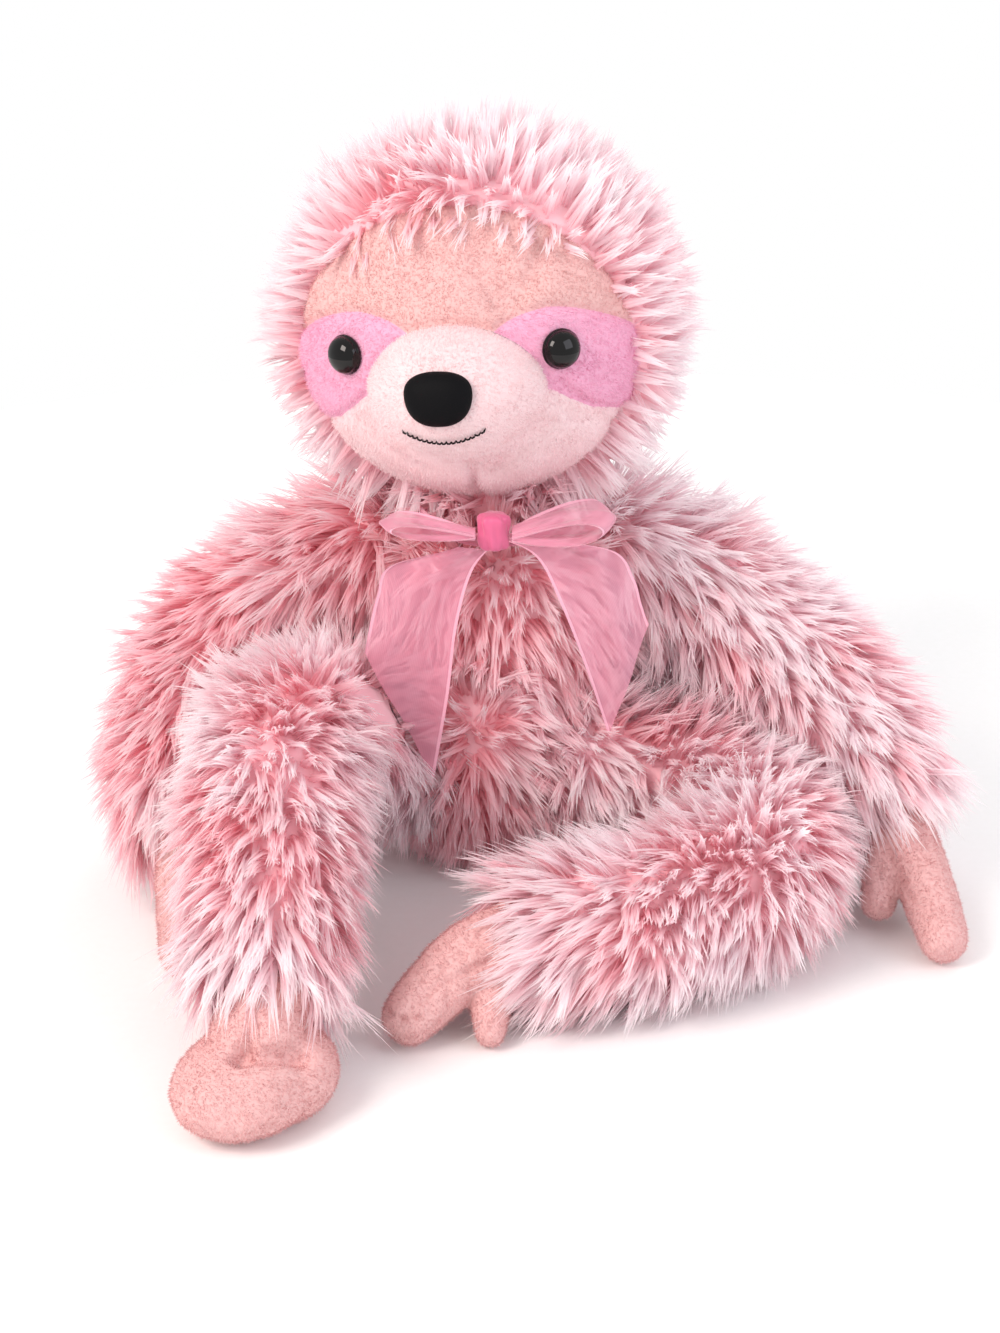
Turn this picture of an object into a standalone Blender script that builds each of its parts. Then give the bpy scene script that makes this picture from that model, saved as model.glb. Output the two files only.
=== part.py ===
"""A sitting plush sloth: long-pile skins over stuffed fillings, a short-pile face, and a ribbon bow.

Metres, +Z up, the toy faces -Y. Left and right are the sloth's own sides, so its left is at +X.
"""

import math

import bmesh
import bpy
from mathutils import Matrix, Vector

# Sizes that every piece shares.
GAP = 0.0003
FLAT_DEPTH = 0.0005
OVERRUN = 0.003
WELD_DISTANCE = 0.000002
PILE_THICKNESS = 0.009
BALL_GAP = 0.0005
SPAN_STEPS = 3
CLAW_SPAN_STEPS = 2
LUMEN_SPAN_STEPS = 2
BALL_SEGMENTS = 16
BALL_RINGS = 8
SMALL_BALL_SEGMENTS = 12
SMALL_BALL_RINGS = 6
TUBE_SIDE_STEPS = 4
LUMEN_SIDE_STEPS = 2
CLAW_SIDE_STEPS = 3
THREAD_SIDE_STEPS = 1

# Torso: a pear, as (radius, height) from the seat to the neck.
TORSO_HEIGHT = 0.128
SEAT_FLAT_RADIUS = 0.028
SEAT_RADIUS = 0.041
SEAT_HEIGHT_SHARE = 0.102
BELLY_RADIUS = 0.049
BELLY_HEIGHT_SHARE = 0.359
CHEST_RADIUS = 0.044
CHEST_HEIGHT_SHARE = 0.672
SHOULDER_RADIUS = 0.036
SHOULDER_HEIGHT_SHARE = 0.883
TORSO_STEPS = 26
TORSO_SPAN_STEPS = 2
TORSO_DEPTH_SHARE = 0.96
POUCH_RADIUS = 0.026
POUCH_THICKNESS = 0.018

# Neck ball, on which the head turns and nods.
NECK_RISE = 0.005
NECK_PIVOT = (-0.002, -0.002, TORSO_HEIGHT + NECK_RISE)
NECK_BALL_RADIUS = 0.025
NECK_SEGMENTS = 24
NECK_RINGS = 12
NECK_RELIEF_RADIUS = 0.035
NECK_RELIEF_HEIGHT = 0.007
NECK_RELIEF_SEGMENTS = 22

# Head: ellipsoids about one centre, as (across, front to back, height).
HEAD_RISE = 0.051
HEAD_CENTRE = (-0.007, -0.004, NECK_PIVOT[2] + HEAD_RISE)
HEAD_YAW = math.radians(-9)
HEAD_PITCH = math.radians(-6)
HEAD_ROLL = math.radians(-4.5)
HOOD_RADII = (0.067, 0.064, 0.062)
FACE_RADII = (0.0575, 0.0555, 0.0545)
HEAD_SEGMENTS = 24
HEAD_RINGS = 12
PANEL_THICKNESS = 0.003
FACE_DEPTH = 0.110
FACE_START = -0.002
FACE_MIDDLE_HEIGHT = -0.0055
FACE_WIDTH_SHARE = 0.904
FACE_HEIGHT_SHARE = 0.853
FACE_HALF_WIDTH = FACE_RADII[0] * FACE_WIDTH_SHARE
FACE_HALF_HEIGHT = FACE_RADII[2] * FACE_HEIGHT_SHARE
FACE_OUTLINE_POINTS = 24
MUZZLE_CENTRE = (0.001, -0.041, -0.010)
MUZZLE_RADII = (0.0275, 0.034, 0.0215)
MUZZLE_SEAM_ALLOWANCE = 0.001
PATCH_INNER = 0.006
PATCH_SHOULDER = (0.020, 0.012)
PATCH_TOP = (0.029, 0.0165)
PATCH_TOP_CORNER = (0.041, 0.0135)
PATCH_OUTER_TOP = 0.003
PATCH_OUTER_BOTTOM = -0.029
PATCH_BOTTOM = (0.033, -0.021)
PATCH_INNER_BOTTOM = -0.014

# Eyes and nose: domes on stems, each held by a washer behind the cloth.
EYE_ACROSS = 0.0325
EYE_HEIGHT = 0.000
EYE_RADIUS = 0.0060
EYE_DOME_HEIGHT = 0.0042
EYE_STEM_RADIUS = 0.0019
EYE_STEM_LENGTH = 0.010
EYE_SEGMENTS = 14
EYE_RINGS = 8
NOSE_HEIGHT = -0.008
NOSE_RADII = (0.0115, 0.0045, 0.0088)
NOSE_STEM_RADIUS = 0.0025
NOSE_STEM_LENGTH = 0.012
WASHER_RADIUS = 0.0065
WASHER_THICKNESS = 0.0014
EYE_WASHER_SETBACK = 0.0012
NOSE_WASHER_SETBACK = 0.0032
STEM_SEGMENTS = 10

# Mouth: one stitched thread under the nose.
MOUTH_HALF_WIDTH = 0.0135
MOUTH_HEIGHT = -0.0215
MOUTH_RISE = 0.0035
MOUTH_STITCH_POINTS = 11
THREAD_RADIUS = 0.0005

# Arms, from the shoulder seam to the wrist.
SHOULDER_BALL_RADIUS = 0.023
ARM_RADII = (0.0205, 0.0245, 0.0265, 0.025, 0.020)
ARM_RIGHT_PATH = (
    (-0.044, 0.004, 0.101),
    (-0.073, 0.004, 0.086),
    (-0.095, -0.004, 0.062),
    (-0.103, -0.025, 0.040),
    (-0.101, -0.052, 0.025),
)
ARM_LEFT_PATH = (
    (0.042, 0.004, 0.101),
    (0.068, 0.000, 0.088),
    (0.091, -0.008, 0.069),
    (0.112, -0.022, 0.049),
    (0.128, -0.040, 0.030),
)
ARM_RAISE = math.radians(50)
SHOULDER_AXIS = (0.0, 1.0, 0.0)
WRIST_BALL_RADIUS = 0.012
WRIST_AXIS = (-1.0, 0.0, 0.0)

# Legs, from the hip seam to the ankle.
HIP_BALL_RADIUS = 0.024
LEG_RADII_RIGHT = (0.0215, 0.026, 0.0275, 0.0275, 0.025, 0.021)
LEG_RIGHT_PATH = (
    (-0.038, -0.024, 0.040),
    (-0.056, -0.048, 0.060),
    (-0.068, -0.076, 0.068),
    (-0.069, -0.106, 0.057),
    (-0.069, -0.135, 0.041),
    (-0.068, -0.159, 0.028),
)
LEG_RADII_LEFT = (0.0215, 0.0255, 0.027, 0.027, 0.0265, 0.025, 0.021)
LEG_LEFT_PATH = (
    (0.034, -0.026, 0.038),
    (0.062, -0.034, 0.033),
    (0.081, -0.054, 0.030),
    (0.080, -0.082, 0.028),
    (0.058, -0.103, 0.027),
    (0.032, -0.1125, 0.026),
    (0.006, -0.119, 0.025),
)
LEG_RIGHT_AXIS = (-1.0, 0.0, 0.0)
LEG_RIGHT_LIFT = math.radians(15)
LEG_LEFT_AXIS = (-0.82, 0.57, 0.0)
LEG_LEFT_LIFT = math.radians(20)
ANKLE_BALL_RADIUS = 0.0125
ANKLE_AXIS_RIGHT = (-1.0, 0.0, 0.0)
ANKLE_AXIS_LEFT = (-0.635, 0.773, 0.0)
CLEARANCE_POSES = 2

# Hands and feet: short-pile mitts with a long claw and a short one.
HAND_CLAW_RADII = (0.0105, 0.0095, 0.0085, 0.0075)
HAND_THUMB_RADII = (0.0065, 0.006, 0.0055)
HAND_LEFT_CLAW = (
    (0.128, -0.040, 0.030),
    (0.134, -0.056, 0.020),
    (0.138, -0.075, 0.013),
    (0.140, -0.091, 0.0085),
)
HAND_LEFT_THUMB = ((0.127, -0.050, 0.024), (0.124, -0.061, 0.016), (0.122, -0.071, 0.010))
HAND_RIGHT_CLAW = (
    (-0.101, -0.052, 0.025),
    (-0.101, -0.069, 0.016),
    (-0.100, -0.085, 0.010),
    (-0.099, -0.099, 0.0075),
)
HAND_RIGHT_THUMB = ((-0.097, -0.059, 0.018), (-0.090, -0.070, 0.011), (-0.086, -0.080, 0.007))
FOOT_CLAW_RADII = (0.0115, 0.0115, 0.010, 0.0085)
FOOT_THUMB_RADII = (0.0065, 0.006, 0.0045)
FOOT_LEFT_CLAW = (
    (0.006, -0.119, 0.025),
    (-0.009, -0.125, 0.021),
    (-0.019, -0.132, 0.015),
    (-0.027, -0.140, 0.010),
)
FOOT_LEFT_THUMB = ((-0.003, -0.127, 0.018), (-0.003, -0.134, 0.011), (-0.003, -0.141, 0.005))
FOOT_RIGHT_INSTEP = ((-0.068, -0.159, 0.028), (-0.070, -0.168, 0.021), (-0.071, -0.178, 0.0135))
FOOT_INSTEP_RADII = (0.0100, 0.0130, 0.0125)
FOOT_RIGHT_MITT_CENTRE = (-0.073, -0.179, 0.0120)
FOOT_RIGHT_MITT_RADII = (0.0205, 0.0245, 0.0125)
FOOT_RIGHT_MITT_YAW = math.radians(-32)
FOOT_RIGHT_TOE_CENTRE = (-0.060, -0.174, 0.0110)
FOOT_RIGHT_TOE_RADII = (0.0125, 0.018, 0.011)
FOOT_RIGHT_TOE_YAW = math.radians(-14)

# Ribbon: sheer woven ribbon, tied round the neck in a bow.
RIBBON_THICKNESS = 0.0007
COLLAR_BELOW_KNOT = 0.0015
COLLAR_HALF_WIDTH = 0.0022
COLLAR_DIP = 0.004
COLLAR_OPENING_SHARE = 0.02
COLLAR_STEPS = 32
COLLAR_WIDTH_STEPS = 1
KNOT_RISE = 0.0015
KNOT_CENTRE = (-0.002, -0.048, TORSO_HEIGHT + KNOT_RISE)
KNOT_RADII = (0.0065, 0.0055, 0.0065)
COLLAR_HEIGHT = KNOT_CENTRE[2] - COLLAR_BELOW_KNOT
TAIL_STEPS = 12
TAIL_WIDTH_STEPS = 4
TAIL_STANDOFF = 0.0025
TAIL_RIPPLE = 0.0012
TAIL_RIGHT_PATH = ((-0.0119, -0.0069), (-0.024, -0.0215), (-0.028, -0.0415), (-0.0245, -0.0655))
TAIL_LEFT_PATH = ((0.0119, -0.0069), (0.024, -0.0195), (0.035, -0.0355), (0.041, -0.0545))
TAIL_HALF_WIDTHS = (0.0115, 0.0115, 0.012, 0.0125)
TAIL_TIP_CUT = 0.042
LOOP_LENGTH = 0.032
LOOP_HEIGHT = 0.0055
LOOP_HALF_WIDTH = 0.0075
LOOP_DROOP = 0.004
LOOP_START_ANGLE = math.radians(25)
LOOP_PINCH_SHARE = 0.55
LOOP_STEPS = 16
LOOP_WIDTH_STEPS = 2

parts = bpy.data.collections.new("plush_sloth")
pivots = {}
materials = {}


def clear_scene():
    for obj in list(bpy.data.objects):
        bpy.data.objects.remove(obj)
    bpy.context.scene.collection.children.link(parts)


def make_material(name, hex_colour, roughness, metallic=0.0):
    material = bpy.data.materials.new(name)
    material.use_nodes = True
    shader = material.node_tree.nodes["Principled BSDF"]
    levels = [int(hex_colour[i : i + 2], 16) / 255 for i in (1, 3, 5)]
    linear = [v / 12.92 if v <= 0.04045 else ((v + 0.055) / 1.055) ** 2.4 for v in levels]
    shader.inputs["Base Color"].default_value = (*linear, 1.0)
    shader.inputs["Roughness"].default_value = roughness
    shader.inputs["Metallic"].default_value = metallic
    materials[name] = material


def make_materials():
    make_material("long_pile_plush", "#F6C6CC", 0.9)
    make_material("short_pile_pale", "#F8D6D6", 0.9)
    make_material("short_pile_peach", "#F3BDB8", 0.9)
    make_material("short_pile_deep", "#F29BB8", 0.9)
    make_material("short_pile_paws", "#EFB2B4", 0.9)
    make_material("fibre_filling", "#F2F0EC", 1.0)
    make_material("pellet_pouch", "#E6E2DA", 0.8)
    make_material("organza_ribbon", "#F490B4", 0.5)
    make_material("black_gloss_plastic", "#0A0A0B", 0.08)
    make_material("black_flock", "#16151A", 0.6)
    make_material("white_washer_plastic", "#E9E9E6", 0.4)
    make_material("black_thread", "#201A1C", 0.7)


def work_object(name, mesh):
    obj = bpy.data.objects.new(name, mesh)
    bpy.context.scene.collection.objects.link(obj)
    return obj


def weld(mesh, turn_out):
    """Welds caps to their walls; turn_out turns the faces of one closed body outward."""
    bm = bmesh.new()
    bm.from_mesh(mesh)
    bmesh.ops.remove_doubles(bm, verts=bm.verts, dist=WELD_DISTANCE)
    if turn_out:
        bmesh.ops.recalc_face_normals(bm, faces=bm.faces)
    bm.to_mesh(mesh)
    bm.free()


def apply_all(obj):
    """Replaces the object's mesh by what its modifiers, or its curve, make of it."""
    graph = bpy.context.evaluated_depsgraph_get()
    mesh = bpy.data.meshes.new_from_object(obj.evaluated_get(graph))
    weld(mesh, obj.type != "MESH")
    if obj.type == "MESH":
        obj.modifiers.clear()
        obj.data = mesh
        return obj
    solid = work_object(obj.name, mesh)
    solid.matrix_world = obj.matrix_world
    bpy.data.objects.remove(obj)
    return solid


def combine(obj, other, operation):
    step = obj.modifiers.new("step", "BOOLEAN")
    step.operation = operation
    step.solver = "EXACT"
    step.object = other
    apply_all(obj)
    bpy.data.objects.remove(other)
    return obj


def cut(obj, *cutters):
    for cutter in cutters:
        combine(obj, cutter, "DIFFERENCE")
    return obj


def join(obj, *others):
    for other in others:
        combine(obj, other, "UNION")
    return obj


def keep_within(obj, other):
    return combine(obj, other, "INTERSECT")


def copy_of(obj):
    return work_object("copy", obj.data.copy())


def ellipsoid(centre, radii, segments=BALL_SEGMENTS, rings=BALL_RINGS, turn=None):
    """A sphere of radius 1, scaled, turned and moved; its poles lie along the turned Z axis."""
    bm = bmesh.new()
    bmesh.ops.create_uvsphere(bm, u_segments=segments, v_segments=rings, radius=1)
    mesh = bpy.data.meshes.new("ellipsoid")
    bm.to_mesh(mesh)
    bm.free()
    turned = turn or Matrix.Identity(4)
    mesh.transform(Matrix.Translation(centre) @ turned @ Matrix.Diagonal((*radii, 1)))
    return work_object("ellipsoid", mesh)


def ball(centre, radius, axis=(0, 0, 1), segments=BALL_SEGMENTS, rings=BALL_RINGS):
    turn = Vector((0, 0, 1)).rotation_difference(Vector(axis)).to_matrix().to_4x4()
    return ellipsoid(centre, (radius, radius, radius), segments, rings, turn)


def rod(start, direction, radius, length, segments=STEM_SEGMENTS):
    """A cylinder that runs from start along direction."""
    bm = bmesh.new()
    bmesh.ops.create_cone(bm, cap_ends=True, segments=segments, radius1=1, radius2=1, depth=1)
    mesh = bpy.data.meshes.new("rod")
    bm.to_mesh(mesh)
    bm.free()
    along = Vector(direction).normalized()
    turn = Vector((0, 0, 1)).rotation_difference(along).to_matrix().to_4x4()
    middle = Vector(start) + along * (length / 2)
    mesh.transform(Matrix.Translation(middle) @ turn @ Matrix.Diagonal((radius, radius, length, 1)))
    return work_object("rod", mesh)


def smooth_line(points, steps=SPAN_STEPS):
    """Points on a Catmull-Rom curve through the given points, of any dimension."""
    given = [Vector(p) for p in points]
    ends = [given[0] * 2 - given[1], *given, given[-1] * 2 - given[-2]]
    line = []
    for a, b, c, d in zip(ends, ends[1:], ends[2:], ends[3:]):
        for step in range(steps):
            t = step / steps
            slope = (c - a) * (t / 2)
            bend = (a * 2 - b * 5 + c * 4 - d) * (t**2 / 2)
            twist = (b * 3 - a - c * 3 + d) * (t**3 / 2)
            line.append(b + slope + bend + twist)
    return line + [given[-1]]


def tube(
    points,
    radii,
    shrink=0.0,
    lengthen=0.0,
    round_end=False,
    steps=SPAN_STEPS,
    smoothness=TUBE_SIDE_STEPS,
):
    """A tapering tube along a smooth line, as a POLY curve whose points carry the radius."""
    line = smooth_line([(*p, r) for p, r in zip(points, radii)], steps)
    places = [Vector(p[:3]) for p in line]
    sizes = [p[3] - shrink for p in line]
    if lengthen:
        last = (places[-1] - places[-2]).normalized()
        places.append(places[-1] + last * lengthen)
        sizes.append(sizes[-1])
    if round_end:
        tip, reach = places[-1], sizes[-1]
        along = (places[-1] - places[-2]).normalized()
        for step in range(1, SPAN_STEPS):
            angle = math.pi / 2 * step / SPAN_STEPS
            places.append(tip + along * (reach * math.sin(angle)))
            sizes.append(reach * math.cos(angle))
    curve = bpy.data.curves.new("tube", "CURVE")
    curve.dimensions = "3D"
    curve.bevel_depth = 1
    curve.bevel_resolution = smoothness
    curve.use_fill_caps = True
    spline = curve.splines.new("POLY")
    spline.points.add(len(places) - 1)
    for point, place, size in zip(spline.points, places, sizes):
        point.co = (*place, 1)
        point.radius = size
    obj = bpy.data.objects.new("tube", curve)
    bpy.context.scene.collection.objects.link(obj)
    return apply_all(obj)


def prism(outline):
    """A flat outline in X and Z, run forward through the face from just before the middle of the head."""
    curve = bpy.data.curves.new("prism", "CURVE")
    curve.dimensions = "2D"
    curve.fill_mode = "BOTH"
    curve.extrude = FACE_DEPTH / 2
    spline = curve.splines.new("POLY")
    spline.points.add(len(outline) - 1)
    for point, (x, z) in zip(spline.points, outline):
        point.co = (x, z, 0, 1)
    spline.use_cyclic_u = True
    obj = bpy.data.objects.new("prism", curve)
    bpy.context.scene.collection.objects.link(obj)
    solid = apply_all(obj)
    forward = Matrix.Translation((0, FACE_START - FACE_DEPTH / 2, 0))
    solid.data.transform(forward @ Matrix.Rotation(math.pi / 2, 4, "X"))
    return solid


def strip(place, long_steps, wide_steps, thickness):
    """An open sheet with Solidify: place(s, t) gives a point, s from 0 to 1 and t from -1 to 1."""
    bm = bmesh.new()
    bmesh.ops.create_grid(bm, x_segments=long_steps, y_segments=wide_steps, size=1)
    for vert in bm.verts:
        vert.co = place((vert.co.x + 1) / 2, vert.co.y)
    mesh = bpy.data.meshes.new("strip")
    bm.to_mesh(mesh)
    bm.free()
    sheet = work_object("strip", mesh)
    solidify = sheet.modifiers.new("thickness", "SOLIDIFY")
    solidify.thickness = thickness
    solidify.offset = 0
    return apply_all(sheet)


def turned(profile, steps):
    """A profile of (radius, height) points, given top to bottom, turned about Z by a Screw modifier."""
    bm = bmesh.new()
    verts = [bm.verts.new((radius, 0, height)) for radius, height in profile]
    for a, b in zip(verts, verts[1:]):
        bm.edges.new((a, b))
    mesh = bpy.data.meshes.new("turned")
    bm.to_mesh(mesh)
    bm.free()
    obj = work_object("turned", mesh)
    screw = obj.modifiers.new("turn", "SCREW")
    screw.steps = steps
    screw.render_steps = steps
    screw.use_merge_vertices = True
    screw.merge_threshold = WELD_DISTANCE
    return apply_all(obj)


def floor_cutter():
    """A block below the floor, which flattens what rests there."""
    bm = bmesh.new()
    bmesh.ops.create_cube(bm, size=1)
    mesh = bpy.data.meshes.new("floor")
    bm.to_mesh(mesh)
    bm.free()
    wide = TORSO_HEIGHT * 4
    mesh.transform(Matrix.Translation((0, 0, -wide / 2)) @ Matrix.Diagonal((wide, wide, wide, 1)))
    return work_object("floor", mesh)


def finish(obj, name, material, pivot=None):
    """Names a solid, gives it its material and hangs it on its pivot."""
    obj.name = name
    obj.data.name = name
    obj.data.materials.clear()
    obj.data.materials.append(materials[material])
    obj.data.shade_smooth()
    obj.data.set_sharp_from_angle(angle=math.radians(40))
    bpy.context.scene.collection.objects.unlink(obj)
    parts.objects.link(obj)
    if pivot is None:
        return obj
    holder = pivots[pivot]
    obj.data.transform(Matrix.Translation(-holder["at"]))
    obj.parent = holder["empty"]
    return obj


def add_pivot(name, at, parent=None):
    empty = bpy.data.objects.new(name + "_pivot", None)
    empty.empty_display_size = NECK_BALL_RADIUS
    parts.objects.link(empty)
    place = Vector(at)
    empty.location = place
    if parent:
        empty.parent = pivots[parent]["empty"]
        empty.location = place - pivots[parent]["at"]
    pivots[name] = {"empty": empty, "at": place}


def torso_profile(inset):
    """(radius, height) from the top of the pear to its seat, inset by a wall all round."""
    shoulder_height = TORSO_HEIGHT * SHOULDER_HEIGHT_SHARE
    outline = [
        (TORSO_HEIGHT, 0.0),
        (TORSO_HEIGHT - (TORSO_HEIGHT - shoulder_height) / 3, SHOULDER_RADIUS * 3 / 4),
        (shoulder_height, SHOULDER_RADIUS),
        (TORSO_HEIGHT * CHEST_HEIGHT_SHARE, CHEST_RADIUS),
        (TORSO_HEIGHT * BELLY_HEIGHT_SHARE, BELLY_RADIUS),
        (TORSO_HEIGHT * SEAT_HEIGHT_SHARE, SEAT_RADIUS),
        (-FLAT_DEPTH / 2, SEAT_FLAT_RADIUS),
        (-FLAT_DEPTH, 0.0),
    ]
    line = [(p[1], p[0]) for p in smooth_line(outline, TORSO_SPAN_STEPS)]
    if not inset:
        return line
    pulled = []
    for i, (radius, height) in enumerate(line):
        before, after = line[max(i - 1, 0)], line[min(i + 1, len(line) - 1)]
        run = Vector((after[0] - before[0], after[1] - before[1])).normalized()
        if radius <= WELD_DISTANCE:
            run = Vector((math.copysign(1, run.x), 0))
        pulled.append((max(radius + run.y * inset, 0), height - run.x * inset))
    return pulled


def torso_solid(inset):
    solid = turned(torso_profile(inset), TORSO_STEPS)
    solid.data.transform(Matrix.Diagonal((1, TORSO_DEPTH_SHARE, 1, 1)))
    return solid


def torso_front(x, z):
    """Y of the torso's front surface at a place across and a height."""
    line = sorted(torso_profile(0), key=lambda p: p[1])
    radius = line[0][0]
    for (r1, z1), (r2, z2) in zip(line, line[1:]):
        if z1 <= z <= z2:
            radius = r1 + (r2 - r1) * (z - z1) / max(z2 - z1, WELD_DISTANCE)
    return -TORSO_DEPTH_SHARE * math.sqrt(max(radius**2 - x**2, 0))


def seat_ball(limb, extra):
    """The ball at a limb's seam, its poles on the hinge axis, larger or smaller by extra."""
    place, radius = limb["path"][0], limb["ball"] + extra
    if extra < 0:
        return ball(place, radius, limb["axis"], SMALL_BALL_SEGMENTS, SMALL_BALL_RINGS)
    return ball(place, radius, limb["axis"])


def end_ball(limb, extra):
    """The ball at a limb's wrist or ankle, its poles on that hinge axis."""
    radius = limb["end_ball"] + extra
    return ball(limb["path"][-1], radius, limb["end_axis"], SMALL_BALL_SEGMENTS, SMALL_BALL_RINGS)


def turned_about(shape, pivot, axis, angle):
    at = Vector(pivot)
    turn = Matrix.Rotation(angle, 4, Vector(axis))
    shape.data.transform(Matrix.Translation(at) @ turn @ Matrix.Translation(-at))
    return shape


def swept_torso(limb):
    """The torso, grown by the gap, as the limb meets it at rest and at its turned poses."""
    for pose in range(CLEARANCE_POSES + 1):
        angle = -limb["swing"] * pose / CLEARANCE_POSES
        yield turned_about(torso_solid(-GAP * 2), limb["path"][0], limb["axis"], angle)


def swept_leg(leg):
    """A leg, grown by the gap, at rest and at its lifted poses, for the arm that lies against it."""
    for pose in range(CLEARANCE_POSES + 1):
        shape = tube(leg["path"], leg["radii"], -GAP * 2)
        yield turned_about(shape, leg["path"][0], leg["axis"], leg["swing"] * pose / CLEARANCE_POSES)


LIMBS = {
    "arm_right": {
        "path": ARM_RIGHT_PATH,
        "radii": ARM_RADII,
        "ball": SHOULDER_BALL_RADIUS,
        "axis": SHOULDER_AXIS,
        "swing": ARM_RAISE,
        "end_ball": WRIST_BALL_RADIUS,
        "end_axis": WRIST_AXIS,
        "end": "hand_right",
    },
    "arm_left": {
        "path": ARM_LEFT_PATH,
        "radii": ARM_RADII,
        "ball": SHOULDER_BALL_RADIUS,
        "axis": tuple(-v for v in SHOULDER_AXIS),
        "swing": ARM_RAISE,
        "end_ball": WRIST_BALL_RADIUS,
        "end_axis": WRIST_AXIS,
        "end": "hand_left",
    },
    "leg_right": {
        "path": LEG_RIGHT_PATH,
        "radii": LEG_RADII_RIGHT,
        "ball": HIP_BALL_RADIUS,
        "axis": LEG_RIGHT_AXIS,
        "swing": LEG_RIGHT_LIFT,
        "end_ball": ANKLE_BALL_RADIUS,
        "end_axis": ANKLE_AXIS_RIGHT,
        "end": "foot_right",
    },
    "leg_left": {
        "path": LEG_LEFT_PATH,
        "radii": LEG_RADII_LEFT,
        "ball": HIP_BALL_RADIUS,
        "axis": LEG_LEFT_AXIS,
        "swing": LEG_LEFT_LIFT,
        "end_ball": ANKLE_BALL_RADIUS,
        "end_axis": ANKLE_AXIS_LEFT,
        "end": "foot_left",
    },
}


def limb_inside(limb, wall, lengthen=0.0):
    """The room inside a limb's skin, or the filling that takes it up."""
    inside = tube(
        limb["path"], limb["radii"], wall, lengthen, steps=LUMEN_SPAN_STEPS, smoothness=LUMEN_SIDE_STEPS
    )
    return join(inside, seat_ball(limb, -wall))


def build_limb(name, limb):
    """A long-pile skin over a filling, with a ball at the seam and a cup at the wrist or ankle."""
    skin = tube(limb["path"], limb["radii"])
    cut(skin, *swept_torso(limb))
    if name.startswith("arm"):
        cut(skin, *swept_leg(LIMBS[name.replace("arm", "leg")]))
    join(skin, seat_ball(limb, 0.0))
    cut(skin, floor_cutter())
    cut(skin, limb_inside(limb, PILE_THICKNESS, OVERRUN))
    cut(skin, end_ball(limb, BALL_GAP))
    filling = limb_inside(limb, PILE_THICKNESS + GAP)
    cut(filling, end_ball(limb, BALL_GAP))
    side, limb_name = name.split("_")[1], name.split("_")[0]
    finish(skin, f"{limb_name}_fur_{side}", "long_pile_plush", name)
    finish(filling, f"{limb_name}_filling_{side}", "fibre_filling", name)


def build_mitt(limb, claws):
    """A short-pile mitt: the ball in the cup, and the claws that grow from it."""
    mitt = end_ball(limb, 0.0)
    for claw, radii in claws:
        finger = tube(claw, radii, round_end=True, steps=CLAW_SPAN_STEPS, smoothness=CLAW_SIDE_STEPS)
        join(mitt, finger)
    return mitt


def build_limbs():
    for name, limb in LIMBS.items():
        add_pivot(name, limb["path"][0])
        add_pivot(limb["end"], limb["path"][-1], name)
        build_limb(name, limb)
    mitts = {
        "hand_right": ("arm_right", HAND_RIGHT_CLAW, HAND_RIGHT_THUMB, HAND_CLAW_RADII, HAND_THUMB_RADII),
        "hand_left": ("arm_left", HAND_LEFT_CLAW, HAND_LEFT_THUMB, HAND_CLAW_RADII, HAND_THUMB_RADII),
        "foot_left": ("leg_left", FOOT_LEFT_CLAW, FOOT_LEFT_THUMB, FOOT_CLAW_RADII, FOOT_THUMB_RADII),
    }
    for name, (limb, claw, thumb, claw_radii, thumb_radii) in mitts.items():
        mitt = build_mitt(LIMBS[limb], ((claw, claw_radii), (thumb, thumb_radii)))
        cut(mitt, floor_cutter())
        finish(mitt, name, "short_pile_paws", name)
    mitt = build_mitt(LIMBS["leg_right"], ((FOOT_RIGHT_INSTEP, FOOT_INSTEP_RADII),))
    lobe_turn = Matrix.Rotation(FOOT_RIGHT_MITT_YAW, 4, "Z")
    toe_turn = Matrix.Rotation(FOOT_RIGHT_TOE_YAW, 4, "Z")
    lobe = ellipsoid(FOOT_RIGHT_MITT_CENTRE, FOOT_RIGHT_MITT_RADII, turn=lobe_turn)
    toe = ellipsoid(FOOT_RIGHT_TOE_CENTRE, FOOT_RIGHT_TOE_RADII, turn=toe_turn)
    join(mitt, lobe, toe)
    cut(mitt, floor_cutter())
    finish(mitt, "foot_right", "short_pile_paws", "foot_right")


def neck_ball(extra):
    return ball(NECK_PIVOT, NECK_BALL_RADIUS + extra, segments=NECK_SEGMENTS, rings=NECK_RINGS)


def build_torso():
    skin = torso_solid(0.0)
    cut(skin, floor_cutter())
    cut(skin, torso_solid(PILE_THICKNESS))
    filling = torso_solid(PILE_THICKNESS + GAP)
    pouch_centre = Vector((0, 0, PILE_THICKNESS + POUCH_THICKNESS / 2 + GAP))
    pouch_radii = (POUCH_RADIUS, POUCH_RADIUS * TORSO_DEPTH_SHARE, POUCH_THICKNESS / 2)
    pouch = ellipsoid(pouch_centre, pouch_radii)
    pocket = ellipsoid(pouch_centre, [r + GAP for r in pouch_radii])
    below = rod(pouch_centre, (0, 0, -1), POUCH_RADIUS * 3 / 4, POUCH_THICKNESS, TORSO_STEPS)
    cut(filling, pocket, below)
    for limb in LIMBS.values():
        for solid in (skin, filling):
            cut(solid, seat_ball(limb, BALL_GAP))
    for solid in (skin, filling):
        cut(solid, neck_ball(BALL_GAP))
    finish(skin, "body_fur", "long_pile_plush")
    finish(filling, "body_filling", "fibre_filling")
    finish(pouch, "pellet_pouch", "pellet_pouch")
    finish(neck_ball(0.0), "neck_filling", "fibre_filling", "neck")


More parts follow.
